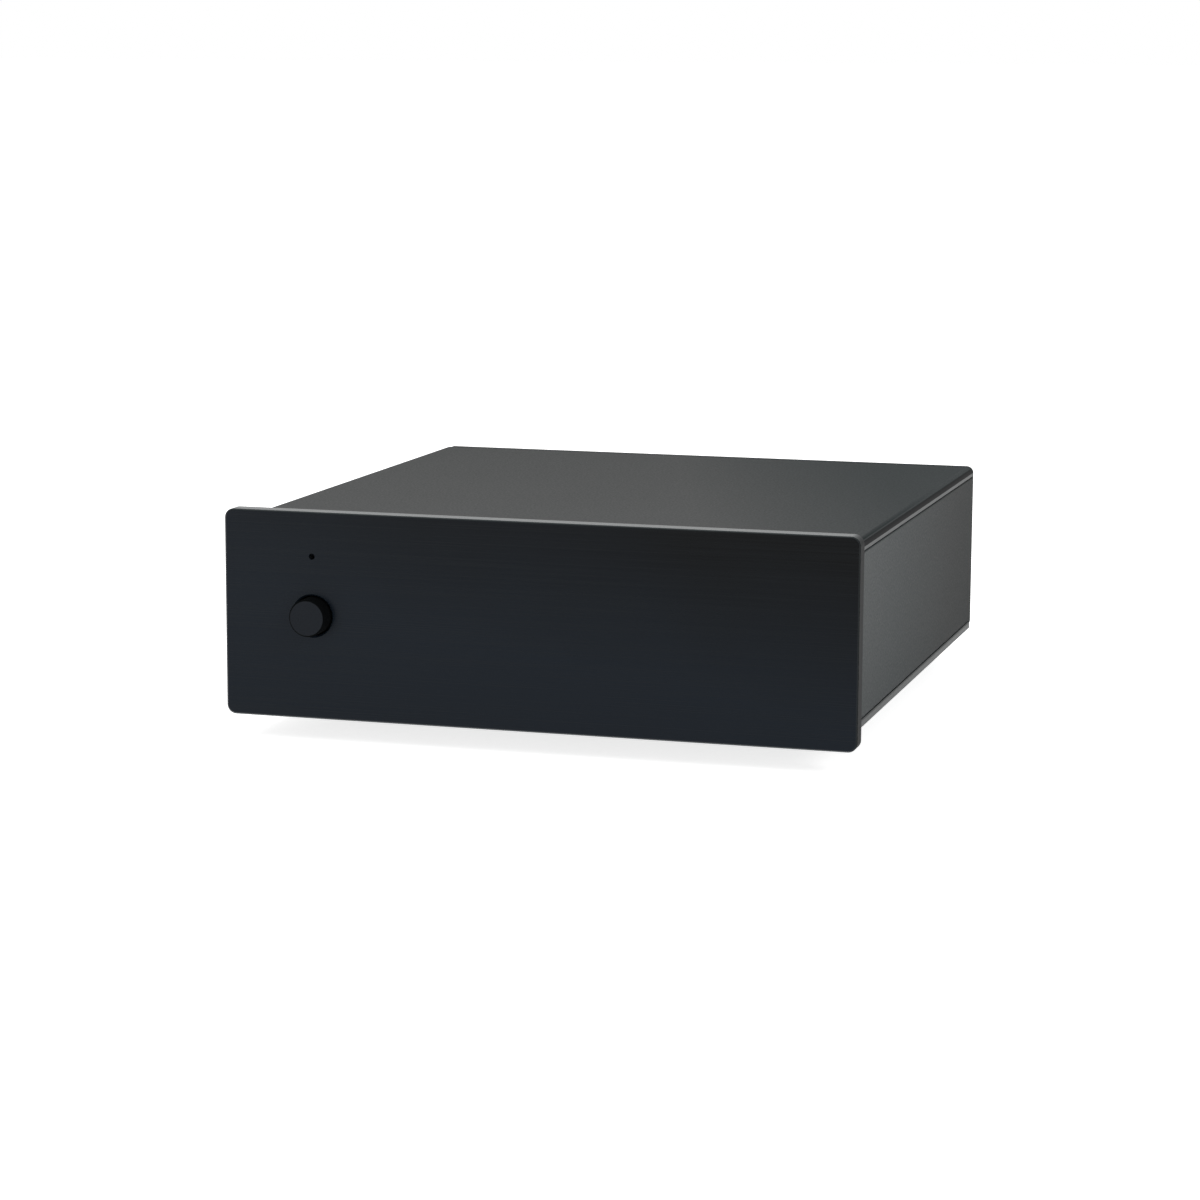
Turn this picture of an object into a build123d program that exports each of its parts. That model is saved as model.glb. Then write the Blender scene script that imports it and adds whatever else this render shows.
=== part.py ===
from build123d import *
import os

# A small phono preamplifier in an aluminium case.
#
# Two extruded side rails are clamped between a top and a bottom cover, whose long hooks slide
# under the lips of the rails. A steel subframe closes the front mouth and carries the thick
# front plate, and the rear panel closes the other end. The circuit board stands on pillars
# pressed into the bottom cover. It carries the phono sockets, the supply jack, the power switch
# and two banks of setting switches, which are reached through windows in the bottom cover.
#
# Millimetres. +Z is up, the front plate faces -Y, and the origin is under the middle of the
# whole object, on the surface that it stands on. Left and right are as seen from the front.

# --- Driving dimensions -------------------------------------------------------------------

TOTAL_L = 119.0            # from the button's face to the end of the ground post
TOTAL_H = 37.0             # from the soles of the feet to the top of the front plate

PLATE_W = 103.0
PLATE_H = 33.2
PLATE_T = 3.0
PLATE_CORNER_R = 1.5
PLATE_BEVEL = 0.3

CASE_W = 100.2
CASE_H = 29.5
CASE_L = 103.0             # behind the front plate, with the rear panel
CASE_DROP = 1.7            # from the top of the front plate down to the top cover
TOP_T = 1.8
TOP_SEAM = 0.15            # height of the shadow groove between the top cover and a rail
TOP_EDGE_R = 1.1
BASE_T = 1.2
BASE_SEAM = 0.2
BASE_EDGE_R = 0.3
COVER_LIP_R = 0.1          # rounding of a cover's edge where it meets the groove
SEAM_DEPTH = 1.0
REAR_T = 1.5
REAR_INSET = 0.1
REAR_CORNER_R = 1.2
REAR_BEVEL = 0.2

RAIL_WALL = 1.8
RAIL_EDGE_R = 0.25
LIP_REACH = 8.2            # from the rail's outer face to the free edge of its lips
LIP_T = 1.6
CHANNEL_INSET = 4.6        # from the rail's outer face to the axis of a screw channel
CHANNEL_DROP = 4.5         # from the cover's inner face to that axis
CHANNEL_R = 2.7
CHANNEL_BORE_R = 1.25
CHANNEL_SLOT = 0.9
CHANNEL_WEB = 2.4
HOOK_T = 1.2
HOOK_TOE = 1.2             # thickness and reach of the toe that goes under a lip
HOOK_GAP = 0.2
HOOK_RELIEF = 2.0          # the hooks stop this far behind the cover's front edge

SUBFRAME_T = 1.5
SUBFRAME_GAP = 0.2
SUBFRAME_BUTTON_GAP = 1.0
SUBFRAME_NOTCH_R = 1.8
PLATE_SCREW_X = (-24.0, 36.0)
PLATE_SCREW_DEPTH = 2.2    # of the blind holes in the plate's back

BUTTON_X = -36.7
BUTTON_R = 3.0
BUTTON_L = 8.4
BUTTON_PROUD = 2.6
BUTTON_BEVEL = 0.25
BUTTON_GAP = 0.25
BUTTON_TRAVEL = 2.2
PLUNGER_R = 1.5
PLUNGER_BEVEL = 0.3
PLUNGER_IN_BUTTON = 4.0
PLUNGER_IN_SWITCH = 6.0
SWITCH_BACK = 7.6          # from the button's back to the switch's face
SWITCH_W = 8.6
SWITCH_L = 13.0
SWITCH_ABOVE_AXIS = 4.2
SWITCH_BEVEL = 0.5
SWITCH_END_ROOM = 0.5      # left behind the plunger when the button is pressed home

LED_UP = 9.5               # from the button's axis up to the light's axis
LED_HOLE_R = 0.5
LED_WEB = 1.3              # plate left in front of the light's pocket
LED_R = 1.5
LED_L = 5.3
LED_FLANGE_R = 1.9
LED_FLANGE_T = 1.0
LED_DOME_FLAT_R = 0.15     # left flat on top of the dome
LEAD_W = 0.5               # the leads are square wire
LEAD_HOLE_R = 0.4
LEAD_X = 1.27
LEAD_BEND_R = 0.8
LEAD_SPREAD_X = 2.4        # where the leads pass each side of the plunger
LEAD_SPREAD_DROP = (4.0, 6.0)      # below the light's axis, where they start and end to spread
HOLDER_T = 3.0
HOLDER_GAP = 0.3           # from the board's edge
HOLDER_HALF_W = 5.0
HOLDER_WINDOW_R = 3.2
HOLDER_HEAD_R = 2.5

FOOT_R = 6.0
FOOT_DRAFT = 5.0           # degrees
FOOT_X = 38.0
FOOT_INSET = 20.5          # from the back of the front plate and the face of the rear panel

BOARD_W = 84.0
BOARD_T = 1.6
BOARD_RISE = 4.6           # from the bottom cover to the board
BOARD_FRONT_GAP = 6.0
BOARD_REAR_GAP = 1.6
PILLAR_R = 2.6
PILLAR_SEAT_L = 0.6        # depth of the six-sided seats that the pillars are pressed into
PILLAR_TAP_ROOM = 0.5      # left under the screw's tip
PILLAR_X = 28.0
PILLAR_Y = (-34.0, 30.0)

ELECTROLYTIC_R = 4.0
ELECTROLYTIC_H = 11.5
ELECTROLYTIC_PLACES = [
    (-20.0, -30.0), (-8.0, -30.0), (4.0, -30.0), (16.0, -30.0), (-26.0, 20.0), (-15.0, 24.0),
]
FILM_W = 7.2
FILM_L = 3.0
FILM_H = 7.5
FILM_BEVEL = 0.3
FILM_X = (12.0, 24.0)
FILM_Y = (-4.0, 1.0, 20.5, 25.5)
CHIP_L = 9.6
CHIP_W = 6.4
CHIP_H = 3.4
CHIP_NOTCH_R = 0.8
CHIP_PLACES = [(18.0, 14.0), (18.0, -12.0), (-4.0, 8.0)]
REGULATOR_X = -30.0
REGULATOR_Y = 6.0
REGULATOR_W = 10.0
REGULATOR_T = 4.4
REGULATOR_H = 9.0
REGULATOR_TAB_T = 1.4
REGULATOR_TAB_H = 15.5
REGULATOR_HOLE_R = 1.8
REGULATOR_HOLE_H = 12.4

SOCKETS = {"in_left": 36.5, "in_right": 22.5, "out_left": -8.5, "out_right": -22.5}
SOCKET_W = 10.4
SOCKET_L = 11.0
SOCKET_H = 13.4
SOCKET_COLLAR_R = 4.75
SOCKET_COLLAR_PROUD = 0.4
SOCKET_PROUD = 9.6
SOCKET_SHELL_R = 4.15
SOCKET_SHELL_WALL = 0.65
SOCKET_SEAT_R = 3.9        # the shell is thinner where it sits in the socket's body
SOCKET_SEAT_L = 4.0
SOCKET_RIM_BEVEL = 0.25
SOCKET_BODY_BEVEL = 1.5
BODY_REAR_GAP = 0.1        # between a socket's or the jack's body and the rear panel
INSULATOR_RECESS = 1.2     # from the shell's rim to the insulator's face
INSULATOR_LEAD_IN = 0.4
CONTACT_RECESS = 1.8
CONTACT_R = 2.1
CONTACT_BORE_R = 1.65
CONTACT_L = 9.0
CONTACT_FLOOR_T = 0.5
PANEL_HOLE_GAP = 0.15

GROUND_X = 7.0
POST_R = 2.0
POST_PROUD = 10.4
POST_HEAD_FLATS = 6.4
POST_HEAD_T = 2.4
POST_BEVEL = 0.4
LOCK_NUT_FLATS = 7.0
LOCK_NUT_T = 2.2
WASHER_R = 4.4
WASHER_T = 0.8
THUMB_NUT_R = 4.5
THUMB_NUT_T = 4.6
THUMB_COLLAR_R = 3.5
THUMB_COLLAR_T = 1.4
KNURL_COUNT = 30
KNURL_DEPTH = 0.36
RUNNING_GAP = 0.06

JACK_X = -37.0
JACK_W = 9.0
JACK_L = 13.6
JACK_H = 11.8
JACK_NOSE_R = 4.0
JACK_NOSE_PROUD = 0.3
JACK_BORE_R = 2.9
JACK_BORE_L = 10.5
JACK_BEVEL = 1.0
JACK_PIN_R = 1.05
JACK_PIN_RECESS = 1.0
JACK_PIN_SEAT = 1.5
JACK_PIN_SEAT_R = 0.6
JACK_PIN_BEVEL = 0.4

BANK_X = 17.0
BANK_Y = 12.0
BANK_W = 14.4
BANK_L = 9.0
BANK_T = 3.3
BANK_WAYS = 5
BANK_PITCH = 2.54
BANK_BEVEL = 0.2
WINDOW_MARGIN = 0.6
WINDOW_CORNER_R = 1.0
SLIDER_W = 1.1
SLIDER_L = 1.3
SLIDER_PROUD = 0.9
SLIDER_GAP = 0.1
SLIDER_BEVEL = 0.15
SLIDER_TRAVEL = 1.6
SLIDER_FACE_T = 1.0        # wall of the bank round a slider's slot
SLIDER_FLANGE = 0.4
SLIDER_FLANGE_T = 0.8

SCREW_R = 1.2
SCREW_HEAD_R = 2.35
SCREW_HEAD_T = 1.6
SCREW_HOLE_R = 1.5
SINK_T = 1.2
SINK_ANGLE = 90.0
SINK_SCREW_R = 1.1
PLATE_SCREW_L = 3.5
RAIL_SCREW_L = 10.0
BOARD_SCREW_L = 5.0

# --- Places that follow from them ---------------------------------------------------------

FRONT_Y = -TOTAL_L / 2                    # the button's face
PLATE_Y0 = FRONT_Y + BUTTON_PROUD
PLATE_Y1 = PLATE_Y0 + PLATE_T
SUBFRAME_Y1 = PLATE_Y1 + SUBFRAME_T
REAR_Y1 = PLATE_Y1 + CASE_L
REAR_Y0 = REAR_Y1 - REAR_T
SLEEVE_L = REAR_Y0 - PLATE_Y1
PLATE_MID_Z = TOTAL_H - PLATE_H / 2
CASE_Z1 = TOTAL_H - CASE_DROP
CASE_Z0 = CASE_Z1 - CASE_H
CASE_MID_Z = (CASE_Z0 + CASE_Z1) / 2
CASE_X = CASE_W / 2
TOP_INNER_Z = CASE_Z1 - TOP_T
BASE_INNER_Z = CASE_Z0 + BASE_T
CHANNEL_X = CASE_X - CHANNEL_INSET
CHANNEL_Z = (BASE_INNER_Z + CHANNEL_DROP, TOP_INNER_Z - CHANNEL_DROP)
CHANNEL_PLACES = [(x, z) for x in (-CHANNEL_X, CHANNEL_X) for z in CHANNEL_Z]
PLATE_SCREW_PLACES = [(x, PLATE_MID_Z) for x in PLATE_SCREW_X]
BUTTON_PLACE = (BUTTON_X, PLATE_MID_Z)
LED_PLACE = (BUTTON_X, PLATE_MID_Z + LED_UP)
BUTTON_Y1 = FRONT_Y + BUTTON_L
SWITCH_Y0 = BUTTON_Y1 + SWITCH_BACK
SWITCH_Y1 = SWITCH_Y0 + SWITCH_L
BOARD_Z0 = BASE_INNER_Z + BOARD_RISE
BOARD_Z1 = BOARD_Z0 + BOARD_T
BOARD_Y0 = PLATE_Y1 + BOARD_FRONT_GAP
BOARD_Y1 = REAR_Y0 - BOARD_REAR_GAP
PILLAR_PLACES = [(x, y) for x in (-PILLAR_X, PILLAR_X) for y in PILLAR_Y]
BANK_PLACES = {"left": -BANK_X, "right": BANK_X}
BANK_Z0 = BOARD_Z0 - BANK_T
FOOT_PLACES = {
    "front_left": (-FOOT_X, PLATE_Y1 + FOOT_INSET),
    "front_right": (FOOT_X, PLATE_Y1 + FOOT_INSET),
    "rear_left": (-FOOT_X, REAR_Y1 - FOOT_INSET),
    "rear_right": (FOOT_X, REAR_Y1 - FOOT_INSET),
}


def upright(y):
    """The upright plane across the case at depth y, looking back: x is +X and y is +Z."""
    return Plane.XZ.offset(-y)


def write(piece, label):
    """Labels a finished piece and writes it to its own file."""
    piece.part.label = label
    export_step(piece.part, f"parts/{label}.step")


def rod(places, y0, y1, radius, mode=Mode.ADD):
    """Round bars along Y from y0 to y1, or round holes with Mode.SUBTRACT."""
    with BuildSketch(upright(y1)) as discs:
        with Locations(*places):
            Circle(radius)
    extrude(discs.sketch, amount=y1 - y0, mode=mode)


def hole(places, y0, y1, radius):
    """Round holes along Y from y0 to y1 through the piece being built."""
    rod(places, y0, y1, radius, mode=Mode.SUBTRACT)


os.makedirs("parts", exist_ok=True)

# --- Case ---------------------------------------------------------------------------------

with BuildPart() as front_plate:
    with BuildSketch(upright(PLATE_Y1)):
        with Locations((0, PLATE_MID_Z)):
            RectangleRounded(PLATE_W, PLATE_H, PLATE_CORNER_R)
    extrude(amount=PLATE_T)
    chamfer(front_plate.faces().sort_by(Axis.Y)[0].edges(), PLATE_BEVEL)
    hole([BUTTON_PLACE], PLATE_Y0, PLATE_Y1, BUTTON_R + BUTTON_GAP)
    hole([LED_PLACE], PLATE_Y0, PLATE_Y1, LED_HOLE_R)
    hole([LED_PLACE], PLATE_Y0 + LED_WEB, PLATE_Y1, LED_R + RUNNING_GAP)
    hole(PLATE_SCREW_PLACES, PLATE_Y1 - PLATE_SCREW_DEPTH, PLATE_Y1, CHANNEL_BORE_R)
    button_rims = front_plate.edges().filter_by(GeomType.CIRCLE).group_by(SortBy.RADIUS)[-1]
    chamfer(button_rims.sort_by(Axis.Y)[0], BUTTON_GAP)
write(front_plate, "front_plate")

with BuildPart() as front_subframe:
    with BuildSketch(upright(SUBFRAME_Y1)):
        with Locations((0, (TOP_INNER_Z + BASE_INNER_Z) / 2)):
            Rectangle(
                CASE_W - 2 * (RAIL_WALL + SUBFRAME_GAP),
                TOP_INNER_Z - BASE_INNER_Z - 2 * (LIP_T + SUBFRAME_GAP),
            )
    extrude(amount=SUBFRAME_T)
    hole([BUTTON_PLACE], PLATE_Y1, SUBFRAME_Y1, BUTTON_R + SUBFRAME_BUTTON_GAP)
    hole(PLATE_SCREW_PLACES, PLATE_Y1, SUBFRAME_Y1, SCREW_HOLE_R)
    # A notch in the top edge lets the light through.
    hole([LED_PLACE], PLATE_Y1, SUBFRAME_Y1, SUBFRAME_NOTCH_R)
    with BuildSketch(upright(SUBFRAME_Y1)):
        with Locations(LED_PLACE):
            Rectangle(
                2 * SUBFRAME_NOTCH_R, TOP_INNER_Z - LED_PLACE[1], align=(Align.CENTER, Align.MIN)
            )
    extrude(amount=SUBFRAME_T, mode=Mode.SUBTRACT)
    with Locations(upright(PLATE_Y1)):
        with Locations(*CHANNEL_PLACES):
            CounterSinkHole(
                SCREW_HOLE_R, SCREW_HEAD_R + RUNNING_GAP, counter_sink_angle=SINK_ANGLE
            )
write(front_subframe, "front_subframe")

with BuildPart() as right_rail:
    # One extruded section: outer wall, two lips and two open screw channels on webs.
    with BuildSketch(upright(REAR_Y0)):
        with BuildLine():
            Polyline(
                (CASE_X, BASE_INNER_Z + BASE_SEAM),
                (CASE_X, TOP_INNER_Z - TOP_SEAM),
                (CASE_X - SEAM_DEPTH, TOP_INNER_Z - TOP_SEAM),
                (CASE_X - SEAM_DEPTH, TOP_INNER_Z),
                (CASE_X - LIP_REACH, TOP_INNER_Z),
                (CASE_X - LIP_REACH, TOP_INNER_Z - LIP_T),
                (CASE_X - RAIL_WALL, TOP_INNER_Z - LIP_T),
                (CASE_X - RAIL_WALL, BASE_INNER_Z + LIP_T),
                (CASE_X - LIP_REACH, BASE_INNER_Z + LIP_T),
                (CASE_X - LIP_REACH, BASE_INNER_Z),
                (CASE_X - SEAM_DEPTH, BASE_INNER_Z),
                (CASE_X - SEAM_DEPTH, BASE_INNER_Z + BASE_SEAM),
                close=True,
            )
        make_face()
        for channel_z, lip_z in zip(CHANNEL_Z, (BASE_INNER_Z, TOP_INNER_Z)):
            with Locations((CHANNEL_X, channel_z)):
                Circle(CHANNEL_R)
            with Locations(((CHANNEL_X + CASE_X - RAIL_WALL) / 2, channel_z)):
                Rectangle(CASE_X - RAIL_WALL - CHANNEL_X, CHANNEL_WEB)
            with Locations((CHANNEL_X, (channel_z + lip_z) / 2)):
                Rectangle(CHANNEL_WEB, abs(channel_z - lip_z) - LIP_T)
        with Locations(*[(CHANNEL_X, z) for z in CHANNEL_Z]):
            Circle(CHANNEL_BORE_R, mode=Mode.SUBTRACT)
        with Locations(*[(CHANNEL_X - CHANNEL_R, z) for z in CHANNEL_Z]):
            Rectangle(2 * CHANNEL_R, CHANNEL_SLOT, mode=Mode.SUBTRACT)
    extrude(amount=SLEEVE_L)
    # The screw channels are milled back at the front, where the subframe drops in.
    with BuildSketch(upright(PLATE_Y1)):
        with Locations((CASE_X - RAIL_WALL - LIP_REACH / 2, (TOP_INNER_Z + BASE_INNER_Z) / 2)):
            Rectangle(LIP_REACH, TOP_INNER_Z - BASE_INNER_Z - 2 * LIP_T)
    extrude(amount=-SUBFRAME_T, mode=Mode.SUBTRACT)
    fillet(right_rail.faces().sort_by(Axis.X)[-1].edges().filter_by(Axis.Y), RAIL_EDGE_R)
write(right_rail, "right_rail")

with BuildPart() as left_rail:
    mirror(right_rail.part, about=Plane.YZ)
write(left_rail, "left_rail")


def cover(outer_z, inner_z, edge_radius):
    """A cover from outer_z to inner_z, with rounded edges and a hook along each side."""
    inward = 1 if inner_z > outer_z else -1
    hook_x = CASE_X - LIP_REACH - HOOK_GAP - HOOK_T / 2
    hook_h = LIP_T + HOOK_GAP + HOOK_TOE
    with BuildPart() as shell:
        with BuildSketch(upright(REAR_Y0)) as outline:
            with Locations((0, (outer_z + inner_z) / 2)):
                Rectangle(CASE_W, abs(outer_z - inner_z))
            fillet(outline.vertices().sort_by(Axis.Y)[:: -inward][:2], edge_radius)
            fillet(outline.vertices().sort_by(Axis.Y)[::inward][:2], COVER_LIP_R)
        extrude(amount=SLEEVE_L)
        with BuildSketch(upright(REAR_Y0)):
            for side in (-1, 1):
                with Locations((side * hook_x, inner_z + inward * hook_h / 2)):
                    Rectangle(HOOK_T, hook_h)
                toe_x = side * (hook_x + (HOOK_T + HOOK_TOE) / 2)
                with Locations((toe_x, inner_z + inward * (hook_h - HOOK_TOE / 2))):
                    Rectangle(HOOK_TOE, HOOK_TOE)
        extrude(amount=SLEEVE_L - HOOK_RELIEF)
    return shell


top_cover = cover(CASE_Z1, TOP_INNER_Z, TOP_EDGE_R)
write(top_cover, "top_cover")

with BuildPart() as bottom_cover:
    add(cover(CASE_Z0, BASE_INNER_Z, BASE_EDGE_R).part)
    # Windows for the setting switches, and blind seats for the pillars.
    with BuildSketch(Plane.XY.offset(CASE_Z0)):
        with Locations(*[(x, BANK_Y) for x in BANK_PLACES.values()]):
            RectangleRounded(
                BANK_W + 2 * WINDOW_MARGIN, BANK_L + 2 * WINDOW_MARGIN, WINDOW_CORNER_R
            )
    extrude(amount=BASE_T, mode=Mode.SUBTRACT)
    with BuildSketch(Plane.XY.offset(BASE_INNER_Z)):
        with Locations(*PILLAR_PLACES):
            RegularPolygon(PILLAR_R + RUNNING_GAP, 6)
    extrude(amount=-PILLAR_SEAT_L, mode=Mode.SUBTRACT)
write(bottom_cover, "bottom_cover")

with BuildPart() as rear_panel:
    with BuildSketch(upright(REAR_Y1)):
        with Locations((0, CASE_MID_Z)):
            RectangleRounded(CASE_W - 2 * REAR_INSET, CASE_H - 2 * REAR_INSET, REAR_CORNER_R)
    extrude(amount=REAR_T)
    chamfer(rear_panel.faces().sort_by(Axis.Y)[-1].edges(), REAR_BEVEL)
    socket_places = [(x, CASE_MID_Z) for x in SOCKETS.values()]
    hole(socket_places, REAR_Y0, REAR_Y1, SOCKET_COLLAR_R + PANEL_HOLE_GAP)
    hole([(JACK_X, CASE_MID_Z)], REAR_Y0, REAR_Y1, JACK_NOSE_R + PANEL_HOLE_GAP)
    hole([(GROUND_X, CASE_MID_Z)], REAR_Y0, REAR_Y1, POST_R + PANEL_HOLE_GAP)
    hole(CHANNEL_PLACES, REAR_Y0, REAR_Y1, SCREW_HOLE_R)
write(rear_panel, "rear_panel")

for corner, place in FOOT_PLACES.items():
    with BuildPart() as foot:
        with BuildSketch(Plane.XY.offset(CASE_Z0)):
            with Locations(place):
                Circle(FOOT_R)
        extrude(amount=-CASE_Z0, taper=FOOT_DRAFT)
    write(foot, f"foot_{corner}")

# --- Power button, switch and light -------------------------------------------------------

with BuildPart() as power_button:
    rod([BUTTON_PLACE], FRONT_Y, BUTTON_Y1, BUTTON_R)
    chamfer(power_button.edges().group_by(Axis.Y)[0], BUTTON_BEVEL)
    chamfer(power_button.edges().group_by(Axis.Y)[-1], BUTTON_BEVEL / 2)
    hole([BUTTON_PLACE], BUTTON_Y1 - PLUNGER_IN_BUTTON, BUTTON_Y1, PLUNGER_R)
write(power_button, "power_button")

with BuildPart() as switch_plunger:
    rod(
        [BUTTON_PLACE],
        BUTTON_Y1 - PLUNGER_IN_BUTTON,
        SWITCH_Y0 + PLUNGER_IN_SWITCH,
        PLUNGER_R,
    )
    chamfer(switch_plunger.edges().group_by(Axis.Y)[-1], PLUNGER_BEVEL)
write(switch_plunger, "switch_plunger")

with BuildPart() as power_switch:
    switch_top = PLATE_MID_Z + SWITCH_ABOVE_AXIS
    with BuildSketch(upright(SWITCH_Y1)):
        with Locations((BUTTON_X, (BOARD_Z1 + switch_top) / 2)):
            Rectangle(SWITCH_W, switch_top - BOARD_Z1)
    extrude(amount=SWITCH_L)
    chamfer(power_switch.edges().filter_by(Axis.Y).group_by(Axis.Z)[-1], SWITCH_BEVEL)
    plunger_room = PLUNGER_IN_SWITCH + BUTTON_TRAVEL + SWITCH_END_ROOM
    hole([BUTTON_PLACE], SWITCH_Y0, SWITCH_Y0 + plunger_room, PLUNGER_R + RUNNING_GAP)
write(power_switch, "power_switch")

LED_Y0 = PLATE_Y0 + LED_WEB
LED_Y1 = LED_Y0 + LED_L
HOLDER_Y0 = BOARD_Y0 + HOLDER_GAP
HOLDER_Y1 = HOLDER_Y0 + HOLDER_T
LEAD_Y = (HOLDER_Y1 + SWITCH_Y0) / 2
LEAD_ENDS = [(BUTTON_X - LEAD_X, LED_PLACE[1]), (BUTTON_X + LEAD_X, LED_PLACE[1])]

with BuildPart() as power_led:
    rod([LED_PLACE], LED_Y0, LED_Y1, LED_R)
    fillet(power_led.edges().group_by(Axis.Y)[0], LED_R - LED_DOME_FLAT_R)
    rod([LED_PLACE], LED_Y1 - LED_FLANGE_T, LED_Y1, LED_FLANGE_R)
    # The leads turn down behind the holder and spread round the plunger to the board.
    for side in (-1, 1):
        near_x = BUTTON_X + side * LEAD_X
        far_x = BUTTON_X + side * LEAD_SPREAD_X
        with BuildLine() as lead:
            FilletPolyline(
                (near_x, LED_Y1 - LED_FLANGE_T / 2, LED_PLACE[1]),
                (near_x, LEAD_Y, LED_PLACE[1]),
                (near_x, LEAD_Y, LED_PLACE[1] - LEAD_SPREAD_DROP[0]),
                (far_x, LEAD_Y, LED_PLACE[1] - LEAD_SPREAD_DROP[1]),
                (far_x, LEAD_Y, BOARD_Z1),
                radius=LEAD_BEND_R,
            )
        with BuildSketch(Plane(origin=lead.line @ 0, z_dir=lead.line % 0)):
            Rectangle(LEAD_W, LEAD_W)
        sweep(path=lead.line)
write(power_led, "power_led")

with BuildPart() as led_holder:
    # An arch over the plunger with a round head for the light.
    with BuildSketch(upright(HOLDER_Y1)):
        with Locations((BUTTON_X, (BOARD_Z1 + PLATE_MID_Z) / 2)):
            Rectangle(2 * HOLDER_HALF_W, PLATE_MID_Z - BOARD_Z1)
        with Locations(BUTTON_PLACE):
            Circle(HOLDER_HALF_W)
        with Locations((BUTTON_X, (PLATE_MID_Z + LED_PLACE[1]) / 2)):
            Rectangle(2 * HOLDER_HEAD_R, LED_UP)
        with Locations(LED_PLACE):
            Circle(HOLDER_HEAD_R)
        with Locations((BUTTON_X, (BOARD_Z1 + PLATE_MID_Z) / 2)):
            Rectangle(2 * HOLDER_WINDOW_R, PLATE_MID_Z - BOARD_Z1, mode=Mode.SUBTRACT)
        with Locations(BUTTON_PLACE):
            Circle(HOLDER_WINDOW_R, mode=Mode.SUBTRACT)
    extrude(amount=HOLDER_T)
    rod([LED_PLACE], LED_Y1, HOLDER_Y1, HOLDER_HEAD_R)
    hole(LEAD_ENDS, LED_Y1, HOLDER_Y1, LEAD_HOLE_R)
write(led_holder, "led_holder")

# --- Circuit board ------------------------------------------------------------------------

with BuildPart() as circuit_board:
    with BuildSketch(Plane.XY.offset(BOARD_Z0)):
        with Locations((0, (BOARD_Y0 + BOARD_Y1) / 2)):
            Rectangle(BOARD_W, BOARD_Y1 - BOARD_Y0)
        with Locations(*PILLAR_PLACES):
            Circle(SCREW_HOLE_R, mode=Mode.SUBTRACT)
    extrude(amount=BOARD_T)
write(circuit_board, "circuit_board")

with BuildPart() as board_pillars:
    with BuildSketch(Plane.XY.offset(BASE_INNER_Z - PILLAR_SEAT_L)):
        with Locations(*PILLAR_PLACES):
            RegularPolygon(PILLAR_R, 6)
    extrude(amount=PILLAR_SEAT_L + BOARD_RISE)
    with BuildSketch(Plane.XY.offset(BOARD_Z0)):
        with Locations(*PILLAR_PLACES):
            Circle(CHANNEL_BORE_R)
    extrude(amount=-(BOARD_SCREW_L - BOARD_T + PILLAR_TAP_ROOM), mode=Mode.SUBTRACT)
write(board_pillars, "board_pillars")

with BuildPart() as electrolytic_capacitors:
    with BuildSketch(Plane.XY.offset(BOARD_Z1)):
        with Locations(*ELECTROLYTIC_PLACES):
            Circle(ELECTROLYTIC_R)
    extrude(amount=ELECTROLYTIC_H)
write(electrolytic_capacitors, "electrolytic_capacitors")

with BuildPart() as film_capacitors:
    with BuildSketch(Plane.XY.offset(BOARD_Z1)):
        with Locations(*[(x, y) for x in FILM_X for y in FILM_Y]):
            Rectangle(FILM_W, FILM_L)
    extrude(amount=FILM_H)
    chamfer(film_capacitors.faces().group_by(Axis.Z)[-1].edges(), FILM_BEVEL)
write(film_capacitors, "film_capacitors")

with BuildPart() as op_amp_chips:
    # Eight-pin chips, notched at the end of their first pin.
    with BuildSketch(Plane.XY.offset(BOARD_Z1)):
        with Locations(*CHIP_PLACES):
            Rectangle(CHIP_L, CHIP_W)
        with Locations(*[(x - CHIP_L / 2, y) for x, y in CHIP_PLACES]):
            Circle(CHIP_NOTCH_R, mode=Mode.SUBTRACT)
    extrude(amount=CHIP_H)
write(op_amp_chips, "op_amp_chips")

with BuildPart() as voltage_regulator:
    # The regulator stands on its pins' end, with its drilled metal tab behind it.
    with BuildSketch(Plane.XY.offset(BOARD_Z1)):
        with Locations((REGULATOR_X, REGULATOR_Y)):
            Rectangle(REGULATOR_T, REGULATOR_W)
    extrude(amount=REGULATOR_H)
    tab_x = REGULATOR_X - (REGULATOR_T + REGULATOR_TAB_T) / 2
    with BuildSketch(Plane.XY.offset(BOARD_Z1)):
        with Locations((tab_x, REGULATOR_Y)):
            Rectangle(REGULATOR_TAB_T, REGULATOR_W)
    extrude(amount=REGULATOR_TAB_H)
    with BuildSketch(Plane.YZ.offset(tab_x)):
        with Locations((REGULATOR_Y, BOARD_Z1 + REGULATOR_HOLE_H)):
            Circle(REGULATOR_HOLE_R)
    extrude(amount=REGULATOR_T / 2, both=True, mode=Mode.SUBTRACT)
write(voltage_regulator, "voltage_regulator")

# --- Phono sockets ------------------------------------------------------------------------

SOCKET_RIM_Y = REAR_Y1 + SOCKET_PROUD
SOCKET_Y1 = REAR_Y0 - BODY_REAR_GAP
SOCKET_Y0 = SOCKET_Y1 - SOCKET_L
SHELL_BORE_R = SOCKET_SHELL_R - SOCKET_SHELL_WALL
SHELL_Y0 = SOCKET_Y1 - SOCKET_SEAT_L
COLLAR_Y1 = REAR_Y1 + SOCKET_COLLAR_PROUD
CONTACT_Y1 = SOCKET_RIM_Y - CONTACT_RECESS
CONTACT_Y0 = CONTACT_Y1 - CONTACT_L

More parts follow.
